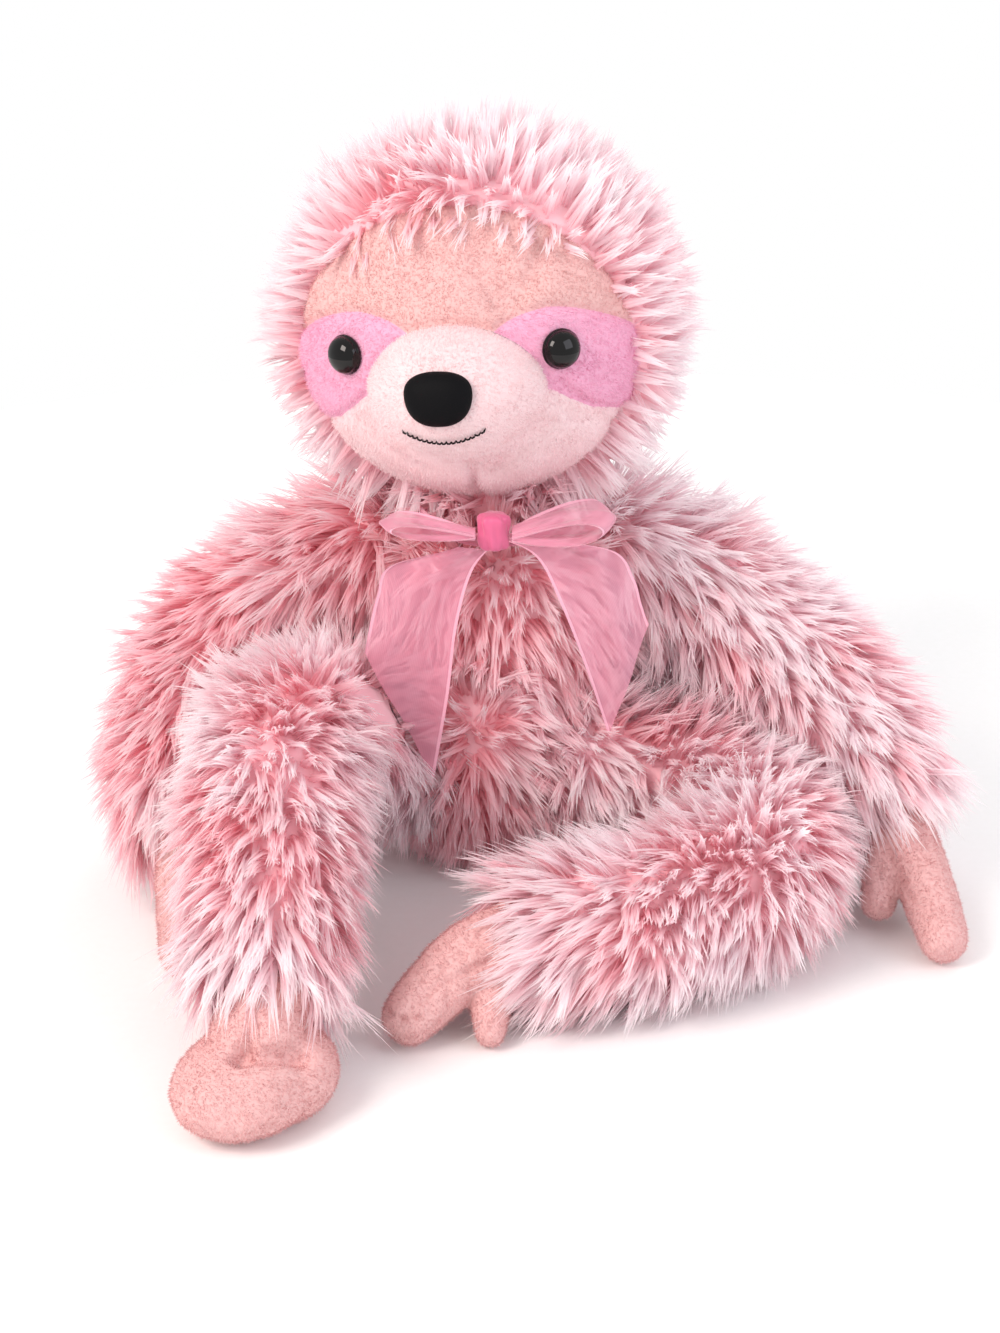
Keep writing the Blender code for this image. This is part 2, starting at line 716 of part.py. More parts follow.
def head_place():
    yaw = Matrix.Rotation(HEAD_YAW, 4, "Z")
    pitch = Matrix.Rotation(HEAD_PITCH, 4, "X")
    roll = Matrix.Rotation(HEAD_ROLL, 4, "Y")
    return Matrix.Translation(HEAD_CENTRE) @ yaw @ pitch @ roll


def head_ellipsoid(radii, inset=0.0, centre=(0, 0, 0)):
    smaller = [r - inset for r in radii]
    return ellipsoid(centre, smaller, HEAD_SEGMENTS, HEAD_RINGS, Matrix.Rotation(math.pi / 2, 4, "X"))


def face_solid(inset):
    """Head and muzzle together, inset from the cloth's outer face, in head space."""
    turned_radii = (FACE_RADII[0], FACE_RADII[2], FACE_RADII[1])
    muzzle_radii = (MUZZLE_RADII[0], MUZZLE_RADII[2], MUZZLE_RADII[1])
    head = head_ellipsoid(turned_radii, inset)
    return join(head, head_ellipsoid(muzzle_radii, inset, MUZZLE_CENTRE))


def oval(half_width, half_height, middle, points=FACE_OUTLINE_POINTS):
    return [
        (
            middle[0] + half_width * math.cos(2 * math.pi * i / points),
            middle[1] + half_height * math.sin(2 * math.pi * i / points),
        )
        for i in range(points)
    ]


def face_prism(extra):
    outline = oval(FACE_HALF_WIDTH + extra, FACE_HALF_HEIGHT + extra, (0.0, FACE_MIDDLE_HEIGHT))
    return prism(outline)


def muzzle_prism(extra):
    """The muzzle's seam, just outside the foot of the bump."""
    grow = MUZZLE_SEAM_ALLOWANCE + extra
    outline = oval(MUZZLE_RADII[0] + grow, MUZZLE_RADII[2] + grow, (MUZZLE_CENTRE[0], MUZZLE_CENTRE[2]))
    return prism(outline)


def patch_prism(side, extra):
    """The eye patch runs from the muzzle to the edge of the face."""
    outer = FACE_HALF_WIDTH + OVERRUN
    outline = [
        (PATCH_INNER, 0.0),
        (PATCH_SHOULDER[0], PATCH_SHOULDER[1] + extra),
        (PATCH_TOP[0], PATCH_TOP[1] + extra),
        (PATCH_TOP_CORNER[0], PATCH_TOP_CORNER[1] + extra),
        (outer, PATCH_OUTER_TOP + extra),
        (outer, PATCH_OUTER_BOTTOM - extra),
        (PATCH_BOTTOM[0], PATCH_BOTTOM[1] - extra),
        (PATCH_INNER, PATCH_INNER_BOTTOM - extra),
    ]
    return prism([(x * side, z) for x, z in outline])


def half_prism(side, low, high):
    """A block of face on one side of the middle seam, or across it when side is 0."""
    outer = FACE_HALF_WIDTH * 2
    inner = GAP / 2 if side else -outer
    outline = [(inner, low), (outer, low), (outer, high), (inner, high)]
    return prism([(x * (side or 1), z) for x, z in outline])


def on_muzzle(x, z, out):
    """The point of the muzzle's surface at a place across and a height, moved out along its normal."""
    cx, cy, cz = MUZZLE_CENTRE
    rx, ry, rz = MUZZLE_RADII
    across, up = (x - cx) / rx, (z - cz) / rz
    forward = math.sqrt(max(1 - across**2 - up**2, 0))
    point = Vector((x, cy - ry * forward, z))
    normal = Vector((across / rx, -forward / ry, up / rz)).normalized()
    return point + normal * out, normal


def on_face(x, z):
    rx, ry, rz = FACE_RADII
    forward = math.sqrt(max(1 - (x / rx) ** 2 - (z / rz) ** 2, 0))
    point = Vector((x, -ry * forward, z))
    normal = Vector((x / rx**2, -forward / ry, z / rz**2)).normalized()
    return point, normal


def button(point, normal, radii, stem_radius, stem_length):
    """A domed button whose flat back lies just off the cloth, on a stem that goes in."""
    turn = Vector((0, -1, 0)).rotation_difference(normal).to_matrix().to_4x4()
    base = point + normal * GAP
    dome = ellipsoid(base, radii, EYE_SEGMENTS, EYE_RINGS, turn)
    behind = rod(base, -normal, radii[0] * 2, stem_length, HEAD_SEGMENTS)
    cut(dome, behind)
    return join(dome, rod(base + normal * (radii[1] / 3), -normal, stem_radius, stem_length))


def washer(point, normal, stem_radius, setback):
    """A ring behind the cloth, round the stem."""
    start = point - normal * (PANEL_THICKNESS + setback)
    ring = rod(start, -normal, WASHER_RADIUS, WASHER_THICKNESS, BALL_SEGMENTS)
    hole = rod(start + normal * OVERRUN, -normal, stem_radius + GAP, OVERRUN * 2 + WASHER_THICKNESS)
    return cut(ring, hole)


def washer_pocket(point, normal, stem_radius, stem_length, setback):
    """Room in the filling for the washer and the stem, open towards the cloth."""
    start = point + normal * OVERRUN
    depth = OVERRUN + PANEL_THICKNESS + setback + WASHER_THICKNESS + GAP
    room = rod(start, -normal, WASHER_RADIUS + GAP, depth, BALL_SEGMENTS)
    return join(room, rod(start, -normal, stem_radius + GAP, stem_length + OVERRUN + GAP * 2))


def head_pieces():
    """The head's solids in head space, by node name, with the material of each."""
    hood_radii = (HOOD_RADII[0], HOOD_RADII[2], HOOD_RADII[1])
    hood = head_ellipsoid(hood_radii)
    cut(hood, head_ellipsoid((FACE_RADII[0], FACE_RADII[2], FACE_RADII[1]), PANEL_THICKNESS))
    cut(hood, face_prism(GAP))
    filling = face_solid(PANEL_THICKNESS + GAP)
    shell = face_solid(0.0)
    cut(shell, face_solid(PANEL_THICKNESS))
    keep_within(shell, face_prism(0.0))
    half_gap = GAP / 2
    muzzle = keep_within(copy_of(shell), muzzle_prism(-half_gap))
    cut(shell, muzzle_prism(half_gap))
    patches = {}
    for side_name, side in (("left", 1), ("right", -1)):
        patches[side_name] = keep_within(copy_of(shell), patch_prism(side, -half_gap))
        cut(shell, patch_prism(side, half_gap))
    brow = keep_within(copy_of(shell), half_prism(0, PATCH_OUTER_TOP / 2, FACE_HALF_HEIGHT * 2))
    cheeks = {}
    for side_name, side in (("left", 1), ("right", -1)):
        lower_half = half_prism(side, -FACE_HALF_HEIGHT * 2, PATCH_OUTER_TOP / 2)
        cheeks[side_name] = keep_within(copy_of(shell), lower_half)
    bpy.data.objects.remove(shell)

    pieces = {
        "head_fur": (hood, "long_pile_plush"),
        "head_filling": (filling, "fibre_filling"),
        "muzzle_panel": (muzzle, "short_pile_pale"),
        "brow_panel": (brow, "short_pile_peach"),
    }
    for side_name, side in (("left", 1), ("right", -1)):
        point, normal = on_face(EYE_ACROSS * side, EYE_HEIGHT)
        radii = (EYE_RADIUS, EYE_DOME_HEIGHT, EYE_RADIUS)
        pieces[f"eye_{side_name}"] = (
            button(point, normal, radii, EYE_STEM_RADIUS, EYE_STEM_LENGTH),
            "black_gloss_plastic",
        )
        pieces[f"eye_washer_{side_name}"] = (
            washer(point, normal, EYE_STEM_RADIUS, EYE_WASHER_SETBACK),
            "white_washer_plastic",
        )
        cut(filling, washer_pocket(point, normal, EYE_STEM_RADIUS, EYE_STEM_LENGTH, EYE_WASHER_SETBACK))
        hole = rod(point + normal * OVERRUN, -normal, EYE_STEM_RADIUS + GAP, OVERRUN * 3)
        pieces[f"eye_patch_{side_name}"] = (cut(patches[side_name], hole), "short_pile_deep")
        pieces[f"cheek_panel_{side_name}"] = (cheeks[side_name], "short_pile_pale")

    point, normal = on_muzzle(0.0, NOSE_HEIGHT, 0.0)
    pieces["nose"] = (button(point, normal, NOSE_RADII, NOSE_STEM_RADIUS, NOSE_STEM_LENGTH), "black_flock")
    pieces["nose_washer"] = (
        washer(point, normal, NOSE_STEM_RADIUS, NOSE_WASHER_SETBACK),
        "white_washer_plastic",
    )
    cut(filling, washer_pocket(point, normal, NOSE_STEM_RADIUS, NOSE_STEM_LENGTH, NOSE_WASHER_SETBACK))
    cut(muzzle, rod(point + normal * OVERRUN, -normal, NOSE_STEM_RADIUS + GAP, OVERRUN * 3))

    smile = []
    for i in range(MOUTH_STITCH_POINTS):
        t = 2 * i / (MOUTH_STITCH_POINTS - 1) - 1
        height = MOUTH_HEIGHT + MOUTH_RISE * t**2
        smile.append(on_muzzle(MOUTH_HALF_WIDTH * t, height, THREAD_RADIUS + GAP)[0])
    thread = tube(smile, [THREAD_RADIUS] * len(smile), steps=1, smoothness=THREAD_SIDE_STEPS)
    pieces["mouth_stitch"] = (thread, "black_thread")
    return pieces


def neck_relief():
    """The room under the head in which the collar lies and the head nods."""
    top = Vector(NECK_PIVOT) + Vector((0, 0, NECK_RELIEF_HEIGHT))
    return rod(top, (0, 0, -1), NECK_RELIEF_RADIUS, NECK_BALL_RADIUS * 2, NECK_RELIEF_SEGMENTS)


def build_head():
    place = head_place()
    for name, (solid, material) in head_pieces().items():
        solid.data.transform(place)
        if name in ("head_fur", "head_filling", "cheek_panel_left", "cheek_panel_right", "muzzle_panel"):
            cut(solid, neck_relief(), neck_ball(BALL_GAP))
        finish(solid, name, material, "head")


def tail_strip(path, side):
    """A tail that hangs from the knot. Its path is measured across and up from the knot's middle."""
    middle = smooth_line([(x, z, w) for (x, z), w in zip(path, TAIL_HALF_WIDTHS)], TAIL_STEPS)

    def place(s, t):
        spot = s * (len(middle) - 1)
        low = min(int(spot), len(middle) - 2)
        across, up, half = middle[low].lerp(middle[low + 1], spot - low)
        x = KNOT_CENTRE[0] + across + half * t
        z = KNOT_CENTRE[2] + up - TAIL_TIP_CUT * s**2 * t * side / 2
        ripple = TAIL_RIPPLE * math.cos(math.pi * (t + s))
        hang = min(torso_front(x, z) - TAIL_STANDOFF, KNOT_CENTRE[1])
        return Vector((x, hang - ripple, z))

    return strip(place, TAIL_STEPS, TAIL_WIDTH_STEPS, RIBBON_THICKNESS)


def loop_strip(side):
    """A bow loop: a flattened teardrop that leaves the knot and comes back to it."""

    def place(s, t):
        angle = LOOP_START_ANGLE + s * (2 * math.pi - LOOP_START_ANGLE * 2)
        reach = (1 - math.cos(angle)) / 2
        start = (1 - math.cos(LOOP_START_ANGLE)) / 2
        across = KNOT_RADII[0] + GAP + LOOP_LENGTH * (reach - start)
        height = LOOP_HEIGHT * math.sin(angle) * math.sqrt(reach)
        droop = -LOOP_DROOP * reach**2
        depth = LOOP_HALF_WIDTH * t * (LOOP_PINCH_SHARE + (1 - LOOP_PINCH_SHARE) * math.sqrt(reach))
        return Vector(KNOT_CENTRE) + Vector((side * across, depth - height / 3, height + droop))

    return strip(place, LOOP_STEPS, LOOP_WIDTH_STEPS, RIBBON_THICKNESS)


def collar_strip():
    """The band round the neck ball, drawn forward to the back of the knot."""
    below_middle = KNOT_CENTRE[2] - (COLLAR_HEIGHT - COLLAR_DIP + COLLAR_HALF_WIDTH)
    knot_back = KNOT_RADII[1] * math.sqrt(1 - (below_middle / KNOT_RADII[2]) ** 2)
    clear = GAP + RIBBON_THICKNESS / 2
    front = NECK_PIVOT[1] - KNOT_CENTRE[1] - knot_back - clear
    side = NECK_BALL_RADIUS + clear

    def place(s, t):
        angle = 2 * math.pi * (COLLAR_OPENING_SHARE / 2 + s * (1 - COLLAR_OPENING_SHARE))
        forward = max(math.cos(angle), 0)
        reach = side + (front - side) * forward**3
        height = COLLAR_HEIGHT - COLLAR_DIP * forward**1.5 + COLLAR_HALF_WIDTH * t
        x = NECK_PIVOT[0] + reach * math.sin(angle)
        y = NECK_PIVOT[1] - reach * math.cos(angle)
        return Vector((x, y, height))

    return strip(place, COLLAR_STEPS, COLLAR_WIDTH_STEPS, RIBBON_THICKNESS)


def build_ribbon():
    finish(collar_strip(), "ribbon_collar", "organza_ribbon")
    finish(ellipsoid(KNOT_CENTRE, KNOT_RADII), "ribbon_knot", "organza_ribbon")
    finish(tail_strip(TAIL_RIGHT_PATH, 1), "ribbon_tail_right", "organza_ribbon")
    finish(tail_strip(TAIL_LEFT_PATH, -1), "ribbon_tail_left", "organza_ribbon")
    finish(loop_strip(-1), "ribbon_loop_right", "organza_ribbon")
    finish(loop_strip(1), "ribbon_loop_left", "organza_ribbon")


def stand_at_origin():
    """Moves the whole toy so that the middle of its outline box stands on the origin."""
    bpy.context.view_layer.update()
    solids = [obj for obj in parts.objects if obj.type == "MESH"]
    corners = [obj.matrix_world @ Vector(corner) for obj in solids for corner in obj.bound_box]
    middle_x = (min(c.x for c in corners) + max(c.x for c in corners)) / 2
    middle_y = (min(c.y for c in corners) + max(c.y for c in corners)) / 2
    for obj in parts.objects:
        if obj.parent is None:
            obj.location -= Vector((middle_x, middle_y, 0))
    bpy.context.view_layer.update()
    for obj in parts.objects:
        if obj.type == "EMPTY":
            print("pivot", obj.name, [round(v, 5) for v in obj.matrix_world.translation])


clear_scene()
make_materials()
add_pivot("neck", NECK_PIVOT)
add_pivot("head", NECK_PIVOT, "neck")
build_torso()
build_limbs()
build_head()
build_ribbon()
stand_at_origin()
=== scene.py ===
import math

import bmesh
import bpy
import numpy as np
from mathutils import Matrix, Vector, noise
from mathutils.bvhtree import BVHTree


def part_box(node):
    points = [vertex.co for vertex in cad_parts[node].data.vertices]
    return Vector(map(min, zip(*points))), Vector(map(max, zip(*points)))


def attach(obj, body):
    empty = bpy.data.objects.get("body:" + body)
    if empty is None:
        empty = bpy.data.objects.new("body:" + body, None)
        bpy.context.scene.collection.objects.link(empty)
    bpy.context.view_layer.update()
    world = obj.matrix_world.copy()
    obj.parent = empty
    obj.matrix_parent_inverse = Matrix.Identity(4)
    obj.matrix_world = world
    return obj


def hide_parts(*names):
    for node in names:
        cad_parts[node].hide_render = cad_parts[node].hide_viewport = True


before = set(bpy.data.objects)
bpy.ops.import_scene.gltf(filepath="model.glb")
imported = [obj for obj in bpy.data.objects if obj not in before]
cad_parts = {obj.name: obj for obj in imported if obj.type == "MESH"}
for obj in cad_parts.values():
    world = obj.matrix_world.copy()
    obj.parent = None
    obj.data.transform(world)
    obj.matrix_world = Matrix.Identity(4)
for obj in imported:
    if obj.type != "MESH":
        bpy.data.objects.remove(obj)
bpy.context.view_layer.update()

# The swirls of the pile come from this noise, which would start from the clock if it had no seed.
noise.seed_set(1)

# The toy, in metres. Places are in the drawing's own frame, and shift, below, brings them to this one.
NECK_PIVOT = Vector((-0.002, -0.002, 0.133))
HEAD_CENTRE = Vector((-0.007, -0.004, 0.184))
HEAD_TURN = (math.radians(-9), math.radians(-6), math.radians(-4.5))
KNOT_CENTRE = Vector((-0.002, -0.048, 0.1295))

# The face, from the head's middle and along the head's own axes. Its oval edge is a half width, a half height
# and the height of its middle.
FACE_RADII = (0.0575, 0.0555, 0.0545)
FACE_OVAL = (0.0535, 0.048, -0.0055)
MUZZLE_CENTRE = (0.001, -0.041, -0.010)
MUZZLE_RADII = (0.0275, 0.034, 0.0215)
EYE_ACROSS = 0.0325
EYE_RADIUS = 0.0060
NOSE_HEIGHT = -0.008
NOSE_HALF = (0.0114, 0.0082)
NOSE_DOME = 0.0052
MOUTH_HALF_WIDTH = 0.0122
MOUTH_HEIGHT = -0.0215
MOUTH_RISE = 0.0035

LIMB_PATHS = {
    "arm_fur_right": (
        (-0.044, 0.004, 0.101), (-0.073, 0.004, 0.086), (-0.095, -0.004, 0.062),
        (-0.103, -0.025, 0.040), (-0.101, -0.052, 0.025),
    ),
    "arm_fur_left": (
        (0.042, 0.004, 0.101), (0.068, 0.000, 0.088), (0.091, -0.008, 0.069),
        (0.112, -0.022, 0.049), (0.128, -0.040, 0.030),
    ),
    "leg_fur_right": (
        (-0.038, -0.024, 0.040), (-0.056, -0.048, 0.060), (-0.068, -0.076, 0.068),
        (-0.069, -0.106, 0.057), (-0.069, -0.135, 0.041), (-0.068, -0.159, 0.028),
    ),
    "leg_fur_left": (
        (0.034, -0.026, 0.038), (0.062, -0.034, 0.033), (0.081, -0.054, 0.030), (0.080, -0.082, 0.028),
        (0.058, -0.103, 0.027), (0.032, -0.1125, 0.026), (0.006, -0.119, 0.025),
    ),
}
BODIES = {
    "body_fur": "torso", "neck_filling": "neck", "head_fur": "head",
    "arm_fur_right": "right_arm", "arm_fur_left": "left_arm",
    "leg_fur_right": "right_leg", "leg_fur_left": "left_leg",
    "hand_right": "right_hand", "hand_left": "left_hand",
    "foot_right": "right_foot", "foot_left": "left_foot",
}

neck_low, neck_high = (Vector(corner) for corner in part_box("neck_filling"))
shift = (neck_low + neck_high) / 2 - NECK_PIVOT
head_place = (
    Matrix.Translation(HEAD_CENTRE + shift)
    @ Matrix.Rotation(HEAD_TURN[0], 4, "Z")
    @ Matrix.Rotation(HEAD_TURN[1], 4, "X")
    @ Matrix.Rotation(HEAD_TURN[2], 4, "Y")
)

# The camera stands where the photograph was taken from: 25 degrees above the toy, 1 m away.
PHOTO_SIZE = (1000, 1333)
METRES_PER_PIXEL = 0.000345
CAMERA_DISTANCE = 1.0
CAMERA_RISE = math.radians(25)
NECK_PIXEL_HEIGHT = 828
forward = Vector((0, math.cos(CAMERA_RISE), -math.sin(CAMERA_RISE)))
upward = Vector((0, math.sin(CAMERA_RISE), math.cos(CAMERA_RISE)))
sideways = Vector((1, 0, 0))
aim = Vector((NECK_PIVOT.x + shift.x + 0.002, NECK_PIVOT.y + shift.y, 0))
aim += upward * ((NECK_PIXEL_HEIGHT - PHOTO_SIZE[1] / 2) * METRES_PER_PIXEL)
camera_spot = aim - forward * CAMERA_DISTANCE


def set_out(name, data):
    """A new object in the scene, from a mesh, curve, lamp or camera."""
    piece = bpy.data.objects.new(name, data)
    bpy.context.scene.collection.objects.link(piece)
    return piece


def stand_facing(piece, spot, direction):
    """Stands a camera or lamp at a spot, turned to a direction."""
    piece.location = spot
    piece.rotation_mode = "QUATERNION"
    piece.rotation_quaternion = direction.to_track_quat("-Z", "Y")


def add_camera():
    camera = bpy.data.cameras.new("photo_camera")
    camera.sensor_fit = "VERTICAL"
    camera.sensor_height = 36
    camera.lens = camera.sensor_height * CAMERA_DISTANCE / (PHOTO_SIZE[1] * METRES_PER_PIXEL)
    camera.clip_start = 0.01
    holder = set_out("photo_camera", camera)
    stand_facing(holder, camera_spot, forward)
    bpy.context.scene.camera = holder


def seen_at(tree, across, down):
    """The point of a surface that the photograph shows at a pixel, or None."""
    right = (across - PHOTO_SIZE[0] / 2) * METRES_PER_PIXEL
    up = (PHOTO_SIZE[1] / 2 - down) * METRES_PER_PIXEL
    ray = forward * CAMERA_DISTANCE + sideways * right + upward * up
    return tree.ray_cast(camera_spot, ray.normalized())[0]


# Materials: each is named for the real one, and its colours are sRGB hex values.
def colour(hex_value):
    levels = [int(hex_value[i : i + 2], 16) / 255 for i in (1, 3, 5)]
    return (*[v / 12.92 if v <= 0.04045 else ((v + 0.055) / 1.055) ** 2.4 for v in levels], 1.0)


def set_inputs(owner, node, inputs):
    """Gives a node's sockets their values. A value that is another node's socket is linked."""
    for socket, value in inputs.items():
        if isinstance(value, bpy.types.NodeSocket):
            owner.node_tree.links.new(value, node.inputs[socket])
        else:
            node.inputs[socket].default_value = value


def add_node(owner, kind, inputs=None, **settings):
    """Adds one node, with its settings and links, to a material or the world."""
    node = owner.node_tree.nodes.new(kind)
    for name, value in settings.items():
        setattr(node, name, value)
    set_inputs(owner, node, inputs or {})
    return node


def new_material(name):
    """An empty material and its shader, already joined to the output."""
    material = bpy.data.materials.new(name)
    material.use_nodes = True
    return material, material.node_tree.nodes["Principled BSDF"]


def set_ramp(ramp, stops):
    elements = ramp.color_ramp.elements
    while len(elements) < len(stops):
        elements.new(0.5)
    for element, (place, hex_value) in zip(elements, stops):
        element.position = place
        element.color = colour(hex_value)


def pile_material(name, deep, pale, roughness, sheen, through):
    """Dyed pile: u is a fibre's own shade, from deep to pale, and v runs from its root to its tip.

    A share of the light goes through the thin fibres, which makes the hollows of the pile glow pink."""
    material, shader = new_material(name)
    place = add_node(material, "ShaderNodeUVMap", uv_map="OFBake")
    split = add_node(material, "ShaderNodeSeparateXYZ", {"Vector": place.outputs["UV"]})
    dark = add_node(material, "ShaderNodeValToRGB", {"Fac": split.outputs["Y"]})
    light = add_node(material, "ShaderNodeValToRGB", {"Fac": split.outputs["Y"]})
    set_ramp(dark, deep)
    set_ramp(light, pale)
    mixed = {0: split.outputs["X"], 6: dark.outputs["Color"], 7: light.outputs["Color"]}
    dye = add_node(material, "ShaderNodeMix", mixed, data_type="RGBA").outputs[2]
    look = {"Base Color": dye, "Roughness": roughness, "Sheen Weight": sheen}
    set_inputs(material, shader, {**look, "Sheen Roughness": 0.45, "Specular IOR Level": 0.15})
    glow = add_node(material, "ShaderNodeBsdfTranslucent", {"Color": dye})
    both = {0: through, 1: shader.outputs["BSDF"], 2: glow.outputs["BSDF"]}
    surface = add_node(material, "ShaderNodeMixShader", both).outputs["Shader"]
    set_inputs(material, material.node_tree.nodes["Material Output"], {"Surface": surface})
    return material


def minky(name, deep, pale):
    """Brushed minky: dense pile 1.5 mm long, matt and velvety, with a faint bloom where seen edge on."""
    stops = [tuple(zip((0.0, 0.5, 1.0), shades)) for shades in (deep, pale)]
    return pile_material(name, *stops, 0.75, 0.15, 0.3)


def grained(name, hex_value, roughness, grain, depth, strength, detail, shine=0.5):
    """One plain colour whose surface has a random grain, with its size and its depth in metres."""
    material, shader = new_material(name)
    place = add_node(material, "ShaderNodeTexCoord").outputs["Object"]
    fleck = add_node(material, "ShaderNodeTexNoise", {"Vector": place, "Scale": 1 / grain, "Detail": detail})
    relief = {"Height": fleck.outputs["Fac"], "Strength": strength, "Distance": depth}
    bump = add_node(material, "ShaderNodeBump", relief)
    look = {"Base Color": colour(hex_value), "Roughness": roughness, "Specular IOR Level": shine}
    set_inputs(material, shader, {"Normal": bump.outputs["Normal"], **look})
    return material


def knit_backing(dye, hex_value):
    return grained("knit_backing_" + dye, hex_value, 0.9, 0.0012, 0.0003, 0.3, 1.0)


def hidden(name, hex_value, grain):
    return grained(name, hex_value, 0.95, grain, grain / 4, 0.4, 4.0)


# The wave texture turns 20 / 2 pi times for 1 unit, so this scale gives 51 threads across the ribbon. Real
# organza is finer, too fine to show here.
ORGANZA_SCALE = 16.0


def organza(name, hex_value, opacity):
    """Sheer polyester organza: even threads 0.5 mm apart, see-through, with a soft satin shine."""
    material, shader = new_material(name)
    place = add_node(material, "ShaderNodeUVMap", uv_map="OFBake").outputs["UV"]
    weave = {"Vector": place, "Scale": ORGANZA_SCALE, "Distortion": 0.6, "Detail": 1.0}
    threads = add_node(material, "ShaderNodeTexWave", weave, bands_direction="X")
    shade = add_node(material, "ShaderNodeValToRGB", {"Fac": threads.outputs["Fac"]})
    levels = colour(hex_value)
    shade.color_ramp.elements[0].color = (levels[0] * 0.93, levels[1] * 0.88, levels[2] * 0.90, 1)
    shade.color_ramp.elements[1].color = levels
    look = {"Base Color": shade.outputs["Color"], "Roughness": 0.42, "Sheen Weight": 0.4, "Alpha": opacity}
    set_inputs(material, shader, look)
    return material


# Long-pile polyester: soft matt fibres, pink at the root and nearly white at the tip, for a frosted coat.
# Its deep and pale columns are picked by each piece's tone, which paints light and shade, and by a random
# spread between locks.
LONG_PILE = pile_material(
    "long_pile_polyester",
    ((0.0, "#FBB9C3"), (0.35, "#FDCBD3"), (0.75, "#FEE0E5"), (1.0, "#FFEEF2")),
    ((0.0, "#FDDEE4"), (0.35, "#FEEDF1"), (0.75, "#FFF9FB"), (1.0, "#FFFEFF")),
    0.7, 0.0, 0.6,
)
# Minky of the brow: a warm peach, mottled as the nap lies this way and that.
PEACH_PILE = minky(
    "brushed_minky_peach", ("#E0AEAC", "#E3B6B4", "#E7BFBD"), ("#EAC4C3", "#EECECD", "#F3DAD9")
)
# Minky of the muzzle and cheeks: the palest cloth, which makes the face the brightest spot.
PALE_PILE = minky(
    "brushed_minky_pale", ("#F2D0D2", "#F5D8DA", "#F7DFE1"), ("#F7E0E2", "#FAE9EB", "#FDF2F4")
)
# Minky of the eye patches: a cool rose, deeper than all the cloth round it.
DEEP_PILE = minky(
    "brushed_minky_rose", ("#EDA8C6", "#F0B2CE", "#F2BCD5"), ("#F4C1D8", "#F6CDE0", "#FAD9E8")
)
# Minky of the paws: a dusty peach, a little darker than the brow.
PAW_PILE = minky(
    "brushed_minky_paws", ("#DDA9A9", "#E1B2B2", "#E6BCBC"), ("#E7BEBE", "#ECC9C9", "#F1D6D6")
)
# Warp-knit polyester backings, in the dye of their pile: matt, with 1.2 mm ribs of loops. They show only as
# colour and a fine grain between the roots.
FUR_BACKING = knit_backing("rose", "#FBC6CE")
PEACH_BACKING = knit_backing("peach", "#E9BCB9")
PALE_BACKING = knit_backing("pale", "#F5DADC")
DEEP_BACKING = knit_backing("deep", "#EFB0CC")
PAW_BACKING = knit_backing("paws", "#E7B9B7")
# Sheer organza: the pile shows through it as through pink glass cloth.
ORGANZA = organza("sheer_organza_pink", "#FBAFC8", 0.55)
# Its woven selvedge: a nearly closed, paler line that draws the ribbon's edge.
SELVEDGE = organza("woven_selvedge_pink", "#FFC2D6", 0.92)
# The same organza gathered in the knot: many layers, so it is closed and its pink is strong.
KNOT_CLOTH = organza("gathered_organza_pink", "#E76C98", 1.0)
# Polished acrylic: a nearly black dome with one small sharp highlight.
EYE_ACRYLIC = grained("polished_black_acrylic", "#070505", 0.05, 0.004, 0.00001, 0.5, 3.0, 0.38)
# Flocked velour: a fuzz 0.6 mm coarse that swallows the light, but for a soft grey on its upper edge.
NOSE_FLOCK = grained("flocked_black_velour", "#08080B", 0.66, 0.0006, 0.0002, 0.5, 3.0, 0.12)
# Embroidery thread: dull black, with a 0.4 mm twist.
STITCH_THREAD = grained("embroidery_thread_black", "#1E1719", 0.7, 0.0004, 0.0001, 0.5, 3.0, 0.2)
# Inside: white fibre in 3 mm tufts, an off-white plain weave and smooth pale nylon, all hidden in the toy.
INSIDE = {
    "filling": hidden("polyester_fibre_filling", "#F2F0EC", 0.003),
    "pouch": hidden("woven_pellet_pouch", "#E6E2DA", 0.0015),
    "washer": hidden("moulded_nylon_washer", "#E9E9E6", 0.0008),
}


def finish_hidden_solids():
    """The solids that stay inside get a plain finish of their own."""
    for name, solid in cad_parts.items():
        for kind, material in INSIDE.items():
            if kind in name:
                for slot in solid.material_slots:
                    slot.material = material


# Meshes, as arrays of points and faces.
def unit(vectors):
    return vectors / np.maximum(np.linalg.norm(vectors, axis=-1, keepdims=True), 1e-9)


def triangles(faces):
    if faces.shape[1] == 3:
        return faces
    return np.concatenate([faces[:, [0, 1, 2]], faces[:, [0, 2, 3]]])


def grid_faces(rows, across, closed):
    """Faces over rows of points. A closed grid also joins the end of each row to its start."""
    faces = []
    for r in range(rows - 1):
        for c in range(across if closed else across - 1):
            n = (c + 1) % across
            faces.append((r * across + c, r * across + n, (r + 1) * across + n, (r + 1) * across + c))
    return faces


def mesh_arrays(mesh):
    """A mesh's points and triangles."""
    mesh.calc_loop_triangles()
    points = np.empty(len(mesh.vertices) * 3)
    mesh.vertices.foreach_get("co", points)
    faces = np.empty(len(mesh.loop_triangles) * 3, np.int32)
    mesh.loop_triangles.foreach_get("vertices", faces)
    return points.reshape(-1, 3), faces.reshape(-1, 3)


def solid_arrays(node):
    """A CAD node's welded points and triangles."""
    points, faces = mesh_arrays(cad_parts[node].data)
    _, first, same = np.unique(np.round(points, 6), axis=0, return_index=True, return_inverse=True)
    faces = same.reshape(-1)[faces]
    keep = (faces[:, 0] != faces[:, 1]) & (faces[:, 1] != faces[:, 2]) & (faces[:, 2] != faces[:, 0])
    return points[first], faces[keep]


